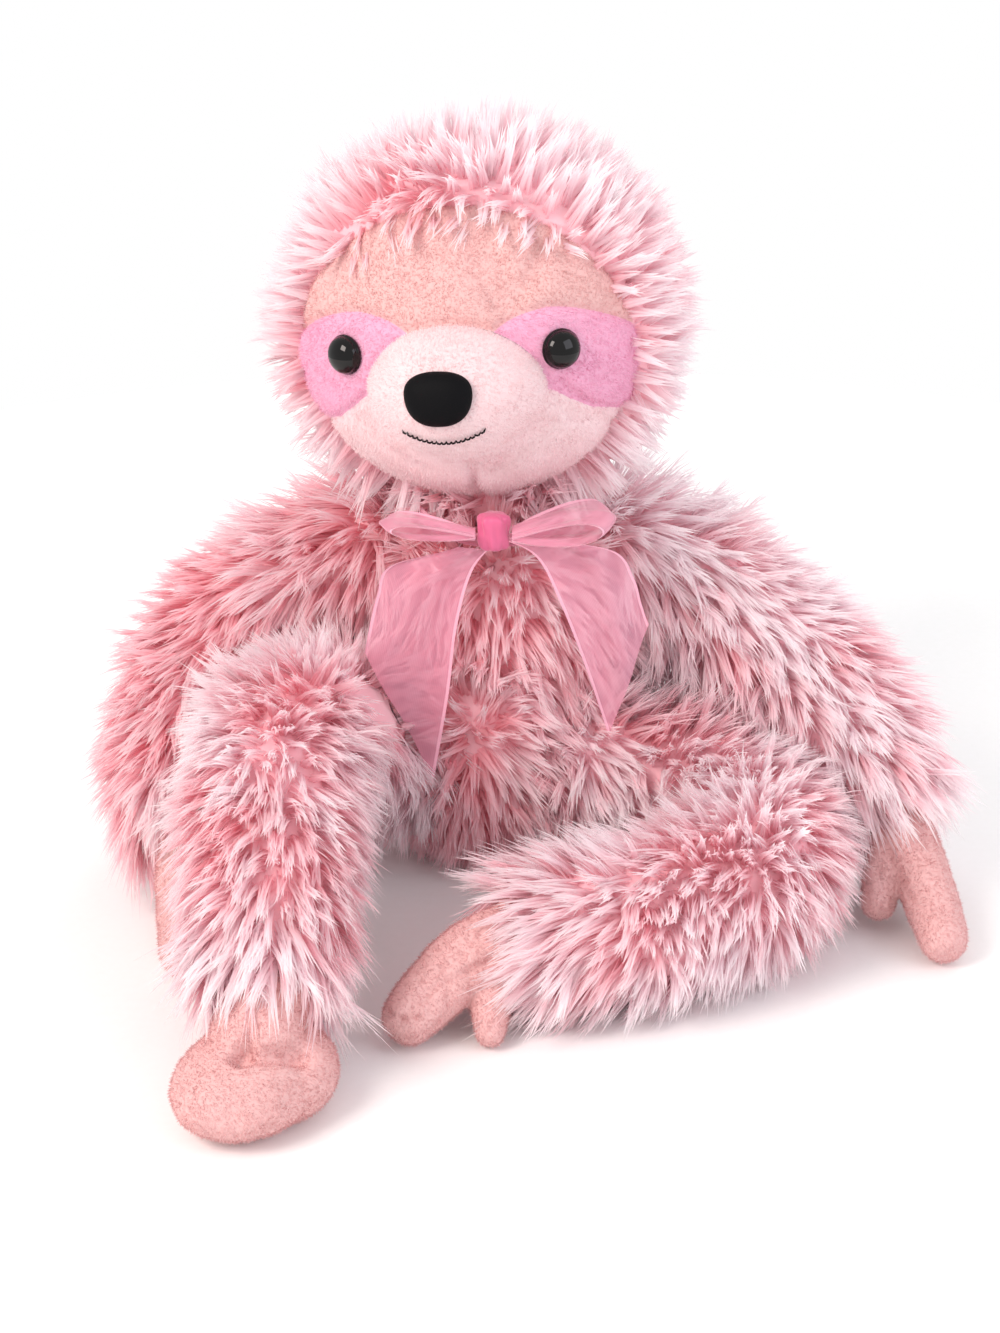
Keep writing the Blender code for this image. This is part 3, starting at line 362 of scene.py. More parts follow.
def point_normals(points, faces):
    corners = points[faces[:, :3]]
    across = np.cross(corners[:, 1] - corners[:, 0], corners[:, 2] - corners[:, 0])
    normals = np.zeros_like(points)
    for i in range(faces.shape[1]):
        np.add.at(normals, faces[:, i], across)
    return unit(normals)


def tree_of(points, faces):
    return BVHTree.FromPolygons([tuple(p) for p in points], [tuple(f) for f in faces])


def tree_over(surfaces):
    """One search tree over several surfaces, each its points and faces."""
    points, faces, start = [], [], 0
    for own_points, own_faces in surfaces:
        points.append(own_points)
        faces.append(own_faces + start)
        start += len(own_points)
    return tree_of(np.concatenate(points), np.concatenate(faces))


def resting_on(node):
    """The limbs and paws that lie against a limb but aren't sewn to it."""
    if node not in LIMB_PATHS:
        return []
    own = (node, node.replace("arm_fur", "hand").replace("leg_fur", "foot"))
    kinds = ("arm", "leg", "hand", "foot")
    return [name for name in BODIES if name.split("_")[0] in kinds and name not in own]


def neighbours_of(node, but=()):
    """One search tree over every other CAD node, but the ribbon's and those named."""
    others = [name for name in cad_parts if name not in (node, *but) and not name.startswith("ribbon")]
    return tree_over([solid_arrays(name) for name in others])


def far_from(tree, points, distance):
    return np.array([tree.find_nearest(tuple(p), distance)[0] is None for p in points])


def surface_area(points, faces):
    corners = points[faces]
    return np.linalg.norm(np.cross(corners[:, 1] - corners[:, 0], corners[:, 2] - corners[:, 0]), axis=1) / 2


def random_spots(points, faces, count, rng):
    """Spots spread at random over triangles: their places and smoothed normals."""
    area = surface_area(points, faces)
    normals = point_normals(points, faces)
    chosen = rng.choice(len(faces), count, p=area / area.sum())
    a, b = rng.random(count), rng.random(count)
    over = a + b > 1
    a[over], b[over] = 1 - a[over], 1 - b[over]
    shares = np.stack([1 - a - b, a, b], axis=1)[:, :, None]
    places = (points[faces[chosen]] * shares).sum(axis=1)
    return places, unit((normals[faces[chosen]] * shares).sum(axis=1))


# The cell that a spot lies in, and the 26 round it.
AROUND = [(dx, dy, dz) for dx in (-1, 0, 1) for dy in (-1, 0, 1) for dz in (-1, 0, 1)]
TRIES_PER_SPOT = 4


def crowded(spot, key, cells, places, spacing):
    for dx, dy, dz in AROUND:
        for other in cells.get((key[0] + dx, key[1] + dy, key[2] + dz), ()):
            gap = places[other] - spot
            if gap @ gap < spacing * spacing:
                return True
    return False


def scatter(points, faces, spacing, rng):
    """Random spots, no two nearer than spacing."""
    tries = int(surface_area(points, faces).sum() / spacing**2 * TRIES_PER_SPOT)
    places, facing = random_spots(points, faces, tries, rng)
    cells, kept = {}, []
    for i, spot in enumerate(places):
        key = tuple(int(v) for v in np.floor(spot / spacing))
        if not crowded(spot, key, cells, places, spacing):
            cells.setdefault(key, []).append(i)
            kept.append(i)
    return places[kept], facing[kept]


def swirl(places, wavelength, seed):
    """A smooth random direction at each place."""
    offset = Vector((seed * 7.3, seed * 3.1, seed * 5.7))
    return np.array([noise.noise_vector(Vector(p) / wavelength + offset) for p in places])


def shade_at(places, wavelength, seed):
    """A smooth random number, about -1 to 1, at each place."""
    offset = Vector((seed * 2.3, seed * 9.1, seed * 4.7))
    return np.array([noise.noise(Vector(p) / wavelength + offset) for p in places])


# Fibres.
LOCK_SPACING = 0.0030
LOCK_FIBRES = 13
LOCK_RADIUS = 0.0022
FIBRE_WIDTH = 0.00085
NAP_LENGTH = 0.0015
NAP_WIDTH = 0.00034
DRAFT_NAP_CUT = 1
# How much of its lock's width a long fibre has lost at its tip.
GATHER = 0.74
# Four levels along a long fibre, and its width at each.
LEVELS = (0.0, 0.36, 0.72, 1.0)
LEVEL_WIDTHS = (1.0, 0.92, 0.62, 0.0)
# By a fibre's number of points: the corners of its faces, how many each face has, and where each corner lies:
# its share of the length and its side.
BLADES = {
    3: ([0, 1, 2], [3], [0.0, 0.0, 1.0], [-1, 1, 0]),
    7: (
        [0, 1, 3, 2, 2, 3, 5, 4, 4, 5, 6], [4, 4, 3],
        [LEVELS[i] for i in (0, 0, 1, 1, 1, 1, 2, 2, 2, 2, 3)], [-1, 1, 1, -1, -1, 1, 1, -1, -1, 1, 0],
    ),
}
SHADE_COLUMNS = 48
FLOOR_GAP = 0.0004


def shade_column(tone):
    """The u of each fibre's shade: the middle of one of the map's columns."""
    return (np.floor(np.clip(tone, 0, 1) * (SHADE_COLUMNS - 1)) + 0.5) / SHADE_COLUMNS


def strands(roots, normals, start, end, length, shade, rng):
    """Tapering flat fibres in pointed locks. start and end are a lock's directions at its root and tip."""
    count = len(roots) * LOCK_FIBRES
    root, normal = np.repeat(roots, LOCK_FIBRES, 0), np.repeat(normals, LOCK_FIBRES, 0)
    first, last = np.repeat(unit(start), LOCK_FIBRES, 0), np.repeat(unit(end), LOCK_FIBRES, 0)
    reach = np.repeat(length, LOCK_FIBRES) * rng.uniform(0.72, 1.08, count)
    side = unit(np.cross(first, normal) + rng.normal(0, 0.15, (count, 3)))
    other = np.cross(first, side)
    turn = rng.uniform(0, 2 * math.pi, count)
    away = LOCK_RADIUS * np.sqrt(rng.random(count))
    offset = side * (away * np.cos(turn))[:, None] + other * (away * np.sin(turn))[:, None]
    flick = rng.normal(0, 0.06, (count, 3)) * reach[:, None]
    twist = rng.uniform(-0.9, 0.9, count)
    levels = []
    for t, share in zip(LEVELS, LEVEL_WIDTHS):
        middle = root + first * (reach * (t - t * t / 2))[:, None] + last * (reach * (t * t / 2))[:, None]
        middle += offset * (1 - GATHER * t) + flick * t * t
        along = unit(first + (last - first) * t)
        across = unit(np.cross(along, normal))
        across = across * np.cos(twist)[:, None] + np.cross(along, across) * np.sin(twist)[:, None]
        half = across * (FIBRE_WIDTH / 2 * share)
        levels += [middle - half, middle + half] if t < 1 else [middle]
    return np.stack(levels, axis=1), shade_column(np.repeat(shade, LOCK_FIBRES) + rng.normal(0, 0.07, count))


def nap(roots, normals, lay, shade, rng):
    """Short brushed fibres, one narrow triangle each."""
    count = len(roots)
    along = unit(normals * 0.42 + lay + rng.normal(0, 0.26, (count, 3)))
    side = unit(np.cross(along, normals) + rng.normal(0, 0.15, (count, 3)))
    reach = NAP_LENGTH * rng.uniform(0.6, 1.15, count)
    half = side * NAP_WIDTH / 2
    blades = np.stack([roots - half, roots + half, roots + along * reach[:, None]], axis=1)
    return blades, shade_column(shade + rng.normal(0, 0.12, count))


def build_pile(name, skin, blades, column, pile, backing):
    """One piece: its cloth skin and every fibre on it, with the map that the pile's colours read."""
    skin_points, skin_faces = skin
    low, high = skin_points.min(axis=0), skin_points.max(axis=0)
    flat = (skin_points[:, [0, 2]] - low[[0, 2]]) / np.maximum((high - low)[[0, 2]], 1e-6)
    skin_map = (flat * (0.96, 0.06) + (0.02, 0.01))[skin_faces.reshape(-1)]
    count, rows = blades.shape[:2]
    pattern, sizes, levels, sides = BLADES[rows]
    numbers = np.arange(count)[:, None]
    across = column[:, None] + np.array(sides) * (0.2 / SHADE_COLUMNS)
    along = np.broadcast_to(0.09 + 0.9 * np.array(levels), across.shape)
    blade_map = np.stack([across, along], axis=2).reshape(-1, 2)
    blade_corners = (len(skin_points) + numbers * rows + np.array(pattern)).reshape(-1)
    blade_starts = (skin_faces.size + numbers * sum(sizes) + np.cumsum([0, *sizes[:-1]])).reshape(-1)
    points = np.concatenate([skin_points, blades.reshape(-1, 3)])
    corners = np.concatenate([skin_faces.reshape(-1), blade_corners]).astype(np.int32)
    starts = np.concatenate([np.arange(len(skin_faces)) * skin_faces.shape[1], blade_starts]).astype(np.int32)
    materials = (np.arange(len(starts)) < len(skin_faces)).astype(np.int32)
    mesh = bpy.data.meshes.new(name)
    mesh.vertices.add(len(points))
    mesh.vertices.foreach_set("co", points.astype(np.float32).reshape(-1))
    mesh.loops.add(len(corners))
    mesh.loops.foreach_set("vertex_index", corners)
    mesh.polygons.add(len(starts))
    mesh.polygons.foreach_set("loop_start", starts)
    mesh.polygons.foreach_set("material_index", materials)
    mesh.polygons.foreach_set("use_smooth", np.ones(len(starts), bool))
    mesh.update(calc_edges=True)
    layer = mesh.uv_layers.new(name="OFBake")
    layer.data.foreach_set("uv", np.concatenate([skin_map, blade_map]).astype(np.float32).reshape(-1))
    if mesh.validate():
        raise RuntimeError(name + ": a face or an edge is broken")
    mesh.materials.append(pile)
    mesh.materials.append(backing)
    return set_out(name, mesh)


def above_floor(blades):
    """Fibres that would reach the floor lie along it."""
    blades[:, :, 2] = np.maximum(blades[:, :, 2], FLOOR_GAP)
    return blades


def clear_of_ribbon(blades, column, tree):
    """Fibres of a limb that would cross a tail from in front are left out."""
    keep = np.ones(len(blades), bool)
    for i, (tip, middle) in enumerate(zip(blades[:, -1], blades[:, 3])):
        if abs(tip[0] - shift.x) > 0.055 or tip[1] - shift.y > -0.040:
            continue
        for spot in (tip, middle):
            if tree.ray_cast(Vector(spot) - Vector((0, 0.002, 0)), Vector((0, 1, 0)), 0.03)[0] is not None:
                keep[i] = False
    return blades[keep], column[keep]


def behind_ribbon(blades, tree):
    """The tails press the pile flat: a fibre's point in front of one moves to just behind it."""
    spots = blades.reshape(-1, 3)
    for i, spot in enumerate(spots):
        if spot[1] - shift.y > -0.038 or abs(spot[0] - shift.x) > 0.06:
            continue
        hit = tree.ray_cast(Vector(spot) - Vector((0, 0.004, 0)), Vector((0, 1, 0)), 0.03)[0]
        if hit is not None:
            spots[i, 1] = max(spots[i, 1], hit.y + 0.0015)


# How much of a fibre's length stands where another limb presses on the pile, and how near that is.
PRESSED_SHARE = 0.55
PRESSED_WITHIN = 0.004
# How much of its inset the cloth keeps within 2 mm of its neighbours.
INSET_AT_NEIGHBOURS = 0.35


def drawn_in_skin(node, inset):
    """A node's surface, where roots grow, and the cloth drawn in under them."""
    points, faces = solid_arrays(node)
    outside = far_from(neighbours_of(node), points, 0.002)
    depth = inset * np.where(outside, 1.0, INSET_AT_NEIGHBOURS)
    skin = points - point_normals(points, faces) * depth[:, None]
    skin[:, 2] = np.maximum(skin[:, 2], 0.0003)
    return points, faces, skin


def long_pile(
    node, surface, inset, length, lean, droop, wildness, seed, flow_at, tone, ribbon=None, bare=0.0004
):
    """Dresses one long-pile node: locks grow from its surface, drawn in by inset.

    tone is painted light and shade: from 0, deep, for a piece that lies in shade, to 1, pale, for a lit one.
    No lock grows within bare of a node that it is sewn to or holds, and where the flow cancels out, as at a
    parting, the locks stand."""
    rng = np.random.default_rng(seed)
    points, faces, skin = surface
    resting = resting_on(node)
    roots, facing = scatter(points, faces, LOCK_SPACING, rng)
    underside = (roots[:, 2] < 0.002) & (facing[:, 2] < -0.6)
    clear = far_from(neighbours_of(node, resting), roots, bare) & ~underside
    roots, facing = roots[clear], facing[clear]
    flow = flow_at(roots, facing)
    flow = flow - facing * (flow * facing).sum(axis=1, keepdims=True)
    lying = np.clip(np.linalg.norm(flow, axis=1) / 0.45, 0.2, 1)
    flow = unit(flow)
    tangle = swirl(roots, 0.022, seed) * wildness + swirl(roots, 0.009, seed + 50) * wildness * 0.7
    tangle += rng.normal(0, 0.16, roots.shape)
    tilt = (lean(roots) * lying)[:, None]
    start = unit(facing * (1 - tilt * 0.45) + flow * tilt + tangle)
    start += facing * np.maximum(0.25 - (start * facing).sum(axis=1, keepdims=True), 0)
    end = start + flow * (0.35 * lying)[:, None] + np.array((0, 0, -droop))
    end = end + swirl(roots, 0.014, seed + 9) * 0.9 * wildness
    reach = length(roots) * rng.uniform(0.82, 1.15, len(roots))
    if resting:
        pile_below = tree_over([solid_arrays(name) for name in resting])
        reach = reach * np.where(far_from(pile_below, roots, PRESSED_WITHIN), 1, PRESSED_SHARE)
    # Painted light and shade: the piece's tone, with a random mottle of the locks about it.
    shade = tone + 0.6 * shade_at(roots, 0.03, seed) + 0.5 * shade_at(roots, 0.010, seed + 3)
    shade += rng.normal(0, 0.14, len(roots))
    blades, column = strands(roots - facing * inset, facing, start, end, reach, shade, rng)
    above_floor(blades)
    if ribbon is not None and node in LIMB_PATHS:
        blades, column = clear_of_ribbon(blades, column, ribbon)
    elif ribbon is not None:
        behind_ribbon(blades, ribbon)
    piece = build_pile(node + "_pile", (skin, faces), blades, column, LONG_PILE, FUR_BACKING)
    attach(piece, BODIES[node])
    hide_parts(node)


def near_cuff(node, places):
    """1 at the end of a limb, where its paw is sewn on, fading over 26 mm."""
    end = np.array(Vector(LIMB_PATHS[node][-1]) + shift)
    return np.exp(-((np.linalg.norm(places - end, axis=1) / 0.026) ** 2))


def limb_flow(node):
    """Pile lies along a limb, from its seam to the paw, and a little down."""
    path = [Vector(p) + shift for p in LIMB_PATHS[node]]
    middles = np.array([(a + b) / 2 for a, b in zip(path, path[1:])])
    runs = np.array([(b - a).normalized() for a, b in zip(path, path[1:])])

    def flow(places, facing):
        gap = np.linalg.norm(places[:, None, :] - middles[None], axis=2)
        weight = np.exp(-((gap / 0.02) ** 2)) + 1e-9
        along = (weight[:, :, None] * runs[None]).sum(axis=1)
        cuff = near_cuff(node, places)[:, None]
        return unit(along) * (0.8 + cuff) + np.array((0, 0, -0.55)) * (1 - cuff)

    return flow


WHORL = (-0.010, 0.052)
WHORL_RADIUS = 0.032


def falling_flow(places, facing):
    """The torso's pile falls, but for a whorl on the belly."""
    across = places[:, 0] - shift.x - WHORL[0]
    up = places[:, 2] - WHORL[1]
    away = np.hypot(across, up)
    share = np.exp(-((away / WHORL_RADIUS) ** 2)) * np.clip(-facing[:, 1] * 1.5, 0, 1)
    outward = np.stack([across, np.zeros_like(across), up], axis=1) / np.maximum(away, 1e-4)[:, None]
    neckline = np.clip((places[:, 2] - 0.104) / 0.012, 0, 1)[:, None]
    down = np.array((0, 0, -1.0)) * (1 - 1.7 * neckline)
    return down * (1 - share)[:, None] + outward * share[:, None] * 1.2


def at_neckline(places):
    return np.clip((places[:, 2] - 0.100) / 0.015, 0, 1)


def torso_length(places):
    """Longer beside the arms and round the neck, where the real pile fills the hollows."""
    beside = np.clip((np.abs(places[:, 0] - shift.x) - 0.028) / 0.012, 0, 1) * (places[:, 2] > 0.05)
    return 0.0160 + 0.0050 * np.maximum(beside, at_neckline(places))


def torso_lean(places):
    return 0.60 - 0.35 * at_neckline(places)


def limb_length(node, reach):
    """Longer over the cuff, and in the hollow beside the torso."""

    def length(places):
        across = np.abs(places[:, 0] - shift.x)
        beside = (across < 0.078) & (places[:, 2] > 0.045) & (places[:, 1] - shift.y > -0.035)
        return reach * (1 + 0.65 * near_cuff(node, places)) + 0.0045 * beside

    return length


def limb_lean(node, lean):
    return lambda places: lean + 0.55 * near_cuff(node, places)


def even(value):
    return lambda places: np.full(len(places), value)


# The hood. Its tuft falls over the brow, on the head's own axes.
TUFT = (-0.006, -0.0285, 0.0480)
TUFT_RADIUS = 0.013
HOOD_ROWS = 34
HOOD_COLUMNS = 96
# It starts under the rim of the face, as a share of the oval and of the face's own form, and over three rows
# rises out of it. It ends where the neck goes in.
HOOD_START = 0.965
HOOD_SUNK = 0.972
HOOD_RISE = 0.048
NECK_HOLE = 0.0275


def head_space(places):
    """Places as seen from the head's middle, along the head's own axes."""
    turn = np.array(head_place.to_3x3())
    return (places - np.array(head_place.translation)) @ turn


def near_tuft(places):
    away = np.linalg.norm(head_space(places) - np.array(TUFT), axis=1)
    return np.exp(-((away / TUFT_RADIUS) ** 2))


def over_brow(places):
    """The first rows of the hood above the forehead, whose pile hangs forward over it."""
    local = head_space(places)
    return np.clip((local[:, 2] - 0.020) / 0.014, 0, 1) * np.exp(-(((local[:, 1] + 0.0355) / 0.0065) ** 2))


def head_flow(places, facing):
    """The hood's pile is combed away from the face, and down at the back; a tuft falls over the brow."""
    turn = np.array(head_place.to_3x3())
    behind = np.clip(head_space(places)[:, 1] / 0.06, 0, 1)[:, None]
    back = turn @ np.array((0, 1, 0))
    combed = back * (1 - behind * 0.7) + np.array((0, 0, -1.0)) * behind
    fringe = turn @ np.array((-0.15, -1, -0.35))
    share = np.minimum(2.2 * near_tuft(places) + 1.1 * over_brow(places), 1)[:, None]
    return combed * (1 - share) + fringe * share


def hood_length(places):
    local = head_space(places)
    top = np.clip((local[:, 2] - 0.02) / 0.03, 0, 1)
    low = np.clip((-local[:, 2] - 0.020) / 0.02, 0, 1)
    return 0.0145 + 0.0030 * top + 0.0035 * low + 0.0050 * near_tuft(places)


def hood_lean(places):
    behind_rim = np.clip((head_space(places)[:, 1] + 0.03) / 0.04, 0, 1)
    return 0.20 + 0.25 * behind_rim + 0.65 * over_brow(places)


def hood_skin():
    """The cloth of the hood, from the edge of the face round to the back of the head."""
    points, faces = [], []
    across, tall, middle = FACE_OVAL
    rx, ry, rz = FACE_RADII
    back = Vector((0, 1, 0))
    for row in range(HOOD_ROWS + 1):
        for column in range(HOOD_COLUMNS):
            angle = 2 * math.pi * column / HOOD_COLUMNS
            x = across * HOOD_START * math.cos(angle)
            z = middle + tall * HOOD_START * math.sin(angle)
            edge = Vector((x / rx, head_depth(x, z) / ry, z / rz)).normalized()
            way = edge.slerp(back, min(row / HOOD_ROWS, 0.995))
            size = HOOD_SUNK + HOOD_RISE * min(row / 3, 1)
            points.append(head_place @ Vector((way.x * rx * size, way.y * ry * size, way.z * rz * size)))
    for a, b, d, c in grid_faces(HOOD_ROWS + 1, HOOD_COLUMNS, True):
        faces += [(a, c, d), (a, d, b)]
    points, faces = np.array(points), np.array(faces)
    from_neck = np.linalg.norm(points - np.array(NECK_PIVOT + shift), axis=1)
    faces = faces[(from_neck[faces] > NECK_HOLE).any(axis=1)]
    outward = ((point_normals(points, faces) * (points - points.mean(axis=0))).sum()) > 0
    faces = faces if outward else faces[:, ::-1]
    return points, faces, points


# The face: one smooth surface of head and muzzle, drawn in rays from the muzzle's middle. The panels' borders
# are angles of a ray, in degrees, by its share of the way from the muzzle's foot to the oval edge.
PATCH_TOP = ((0.0, 53), (0.2, 47), (0.45, 38), (0.7, 26), (1.0, 13))
PATCH_LOW = ((0.0, -4), (0.3, -12), (0.6, -17), (1.0, -19))
UNDER_CHIN = ((0.0, -90), (1.0, -90))
FACE_STEPS = (34, 40)
RAYS_PER_DEGREE = 0.9


def head_depth(x, z):
    rx, ry, rz = FACE_RADII
    return -ry * math.sqrt(max(1 - (x / rx) ** 2 - (z / rz) ** 2, 0.0001))


def seam_reach(angle):
    """How far from its middle the muzzle's foot lies, along a ray at an angle."""
    cx, cy, cz = MUZZLE_CENTRE
    rx, ry, rz = MUZZLE_RADII
    low, high = 0.0, math.pi / 2
    for _ in range(30):
        turn = (low + high) / 2
        edge = math.sin(turn) / math.hypot(math.cos(angle) / rx, math.sin(angle) / rz)
        x, z = cx + edge * math.cos(angle), cz + edge * math.sin(angle)
        if cy - ry * math.cos(turn) < head_depth(x, z):
            low = turn
        else:
            high = turn
    return edge, low


def oval_reach(angle):
    """How far from the muzzle's middle the face's oval edge lies, along a ray at an angle."""
    cx, _, cz = MUZZLE_CENTRE
    a, b, middle = FACE_OVAL
    dx, dz = math.cos(angle), math.sin(angle)
    px, pz = cx, cz - middle
    u = (dx / a) ** 2 + (dz / b) ** 2
    v = 2 * (px * dx / a**2 + pz * dz / b**2)
    w = (px / a) ** 2 + (pz / b) ** 2 - 1
    return (-v + math.sqrt(v * v - 4 * u * w)) / (2 * u)


def face_column(angle):
    """Points from the muzzle's tip to the edge of the face, the fold at the seam softened."""
    inner, outer = FACE_STEPS
    cx, cy, cz = MUZZLE_CENTRE
    rx, ry, rz = MUZZLE_RADII
    edge, turn = seam_reach(angle)
    full = 1 / math.hypot(math.cos(angle) / rx, math.sin(angle) / rz)
    column = []
    for i in range(inner + 1):
        phi = turn * i / inner
        r = full * math.sin(phi)
        column.append((cx + r * math.cos(angle), cy - ry * math.cos(phi), cz + r * math.sin(angle)))
    out = oval_reach(angle)
    for i in range(1, outer + 1):
        r = edge + (out - edge) * i / outer
        x, z = cx + r * math.cos(angle), cz + r * math.sin(angle)
        column.append((x, head_depth(x, z), z))
    column = np.array(column)
    weight = np.exp(-(((np.arange(len(column)) - inner) / (inner * 0.16)) ** 2))[1:-1, None]
    for _ in range(8):
        column[1:-1] += weight * 0.5 * (column[:-2] + column[2:] - 2 * column[1:-1]) * 0.5
    return column


def border(stops, mirrored=False):
    """A border as a function: the angle of its ray for a share of the way out."""

    def angle(share):
        turn = math.radians(np.interp(share, *zip(*stops)))
        return math.pi - turn if mirrored else turn

    return angle


def face_panel(low, high, muzzle=False):
    """A grid between two borders, its rows running outward. The muzzle's rows close, and a tip fills them."""
    inner, outer = FACE_STEPS
    first, last = (1, inner) if muzzle else (inner, inner + outer)
    wide = max(int(math.degrees(abs(high(0.5) - low(0.5))) * RAYS_PER_DEGREE), 8)
    columns, rows = {}, []
    for step in range(first, last + 1):
        share = max(step - inner, 0) / outer
        a, b = low(share), high(share)
        rows.append([])
        for i in range(wide + (0 if muzzle else 1)):
            key = round(a + (b - a) * i / wide, 4)
            if key not in columns:
                columns[key] = face_column(key)
            rows[-1].append(columns[key][step])
    grid = np.array(rows)
    tall, across = grid.shape[:2]
    points, faces = grid.reshape(-1, 3), np.array(grid_faces(tall, across, muzzle))
    if muzzle:
        tip = (MUZZLE_CENTRE[0], MUZZLE_CENTRE[1] - MUZZLE_RADII[1], MUZZLE_CENTRE[2])
        cap = np.array([(len(points), (i + 1) % across, i) for i in range(across)])
        points, faces = np.concatenate([points, [tip]]), np.concatenate([triangles(faces), cap])
    return points, faces


# Folds and seams: lines in the photograph's pixels, with a depth and a half width in metres.
FACE_FOLDS = (
    (((478, 238), (492, 262), (500, 296)), 0.0030, 0.0052),
    (((415, 268), (450, 256), (480, 268)), 0.0016, 0.0050),
    (((540, 255), (528, 282), (512, 300)), 0.0016, 0.0040),
    (((560, 384), (580, 402), (606, 412)), 0.0024, 0.0026),
    (((556, 402), (580, 418), (620, 420)), 0.0022, 0.0026),
    (((548, 425), (520, 452), (492, 470)), 0.0026, 0.0040),
    (((474, 466), (472, 486), (474, 508)), 0.0016, 0.0016),
    (((360, 420), (384, 446), (420, 466)), 0.0018, 0.0035),
)
# How far the filling lofts a panel, how far in it can be drawn before it would meet the filling, and the dip
# along its seams: depth and half width.
PANEL_LOFT = 0.0007
PANEL_GIVE = 0.0022
SEAM_DIP = (0.0014, 0.0017)


def fold_in(points, normals, lines, tree, deepest=PANEL_GIVE):
    """Draws a surface in along lines seen in the photograph."""
    drawn = np.zeros(len(points))
    for pixels, depth, half_width in lines:
        spots = [seen_at(tree, *pixel) for pixel in pixels]
        spots = [np.array(s) for s in spots if s is not None]
        if len(spots) < 2:
            continue
        nearest = np.full(len(points), 1.0)
        for a, b in zip(spots, spots[1:]):
            run = b - a
            t = np.clip(((points - a) @ run) / max(run @ run, 1e-12), 0, 1)
            nearest = np.minimum(nearest, np.linalg.norm(points - a - t[:, None] * run, axis=1))
        drawn += depth * np.exp(-((nearest / half_width) ** 2))
    return points - normals * np.minimum(drawn, deepest)[:, None]


def rim_points(faces):
    """The points on the open edges of a surface."""
    following = np.roll(faces, -1, axis=1)
    edges = np.concatenate([np.stack([faces[:, i], following[:, i]], 1) for i in range(faces.shape[1])])
    pairs, uses = np.unique(np.sort(edges, axis=1), axis=0, return_counts=True)
    return np.unique(pairs[uses == 1])


def draw_in_rim(points, normals, faces, depth, half_width):
    """A panel's edge is pulled down by its seam."""
    rim = points[rim_points(faces)]
    nearest = np.linalg.norm(points[:, None, :] - rim[None], axis=2).min(axis=1)
    return points - normals * (depth * np.exp(-((nearest / half_width) ** 2)))[:, None]


def short_pile(name, node, body, skin, pile, backing, spacing, lay, seed):
    """Short brushed pile on a cloth skin."""
    rng = np.random.default_rng(seed)
    points, faces = skin[0], triangles(skin[1])
    count = int(surface_area(points, faces).sum() / spacing**2) // DRAFT_NAP_CUT
    roots, facing = random_spots(points, faces, count, rng)
    shade = 0.5 + 0.35 * shade_at(roots, 0.006, seed) + 0.35 * shade_at(roots, 0.02, seed + 1)
    flow = np.array(lay) + swirl(roots, 0.012, seed) * 0.35
    flow = flow - facing * (flow * facing).sum(axis=1, keepdims=True)
    blades, column = nap(roots - facing * 0.0002, facing, flow * 0.8, shade, rng)
    piece = build_pile(name, skin, above_floor(blades), column, pile, backing)
    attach(piece, body)
    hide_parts(node)


def build_face():
    """Six sewn panels, each on the face's surface between its borders. The last value is how its nap lies."""
    top_left, top_right = border(PATCH_TOP), border(PATCH_TOP, True)
    low_left, low_right = border(PATCH_LOW), border(PATCH_LOW, True)
    chin_left, chin_right = border(UNDER_CHIN), border(UNDER_CHIN, True)
    start, whole_turn = border(((0, 0), (1, 0))), border(((0, 360), (1, 360)))
    panels = {
        "brow_panel": (top_left, top_right, PEACH_PILE, PEACH_BACKING, (0, 0.1, 0.5)),
        "eye_patch_left": (low_left, top_left, DEEP_PILE, DEEP_BACKING, (0.5, 0, -0.2)),
        "eye_patch_right": (top_right, low_right, DEEP_PILE, DEEP_BACKING, (-0.5, 0, -0.2)),
        "cheek_panel_left": (chin_left, low_left, PALE_PILE, PALE_BACKING, (0, 0, -0.55)),
        "cheek_panel_right": (low_right, chin_right, PALE_PILE, PALE_BACKING, (0, 0, -0.55)),
        "muzzle_panel": (start, whole_turn, PALE_PILE, PALE_BACKING, (0, 0.6, 0)),
    }
    matrix = np.array(head_place)
    middle = np.array(head_place.translation)
    shapes = {}
    for name, (low, high, *_rest) in panels.items():
        points, faces = face_panel(low, high, name == "muzzle_panel")
        points = points @ matrix[:3, :3].T + matrix[:3, 3]
        normals = point_normals(points, triangles(faces))
        if ((points - middle) * normals).sum() < 0:
            faces, normals = faces[:, ::-1], -normals
        shapes[name] = (points, faces, normals)
    tree = tree_over([(points, triangles(faces)) for points, faces, _ in shapes.values()])
    for i, (name, (points, faces, normals)) in enumerate(shapes.items()):
        *_, pile, backing, lay = panels[name]
        wavy = shade_at(points, 0.016, 3)[:, None] * 0.0009 + shade_at(points, 0.007, 5)[:, None] * 0.0003
        folded = fold_in(points + normals * wavy, normals, FACE_FOLDS, tree)
        folded = draw_in_rim(folded, normals, faces, *SEAM_DIP)
        sunk = ((points - folded) * normals).sum(axis=1, keepdims=True)
        folded = folded + normals * (np.maximum(sunk - PANEL_GIVE, 0) + PANEL_LOFT)
        lay = head_place.to_3x3() @ Vector(lay)
        short_pile(name + "_cloth", name, "head", (folded, faces), pile, backing, 0.00050, lay, 40 + i)


# Eyes, nose and mouth.
def on_head(x, z, out=0.0):
    """A spot of the face, out from its surface, and the way it faces."""
    rx, ry, rz = FACE_RADII
    y = head_depth(x, z)
    normal = Vector((x / rx**2, y / ry**2, z / rz**2)).normalized()
    return Vector((x, y, z)) + normal * out, normal


def on_muzzle(x, z, out=0.0):
    cx, cy, cz = MUZZLE_CENTRE
    rx, ry, rz = MUZZLE_RADII
    across, up = (x - cx) / rx, (z - cz) / rz
    ahead = math.sqrt(max(1 - across**2 - up**2, 0))
    normal = Vector((across / rx, -ahead / ry, up / rz)).normalized()
    return Vector((x, cy - ry * ahead, z)) + normal * out, normal


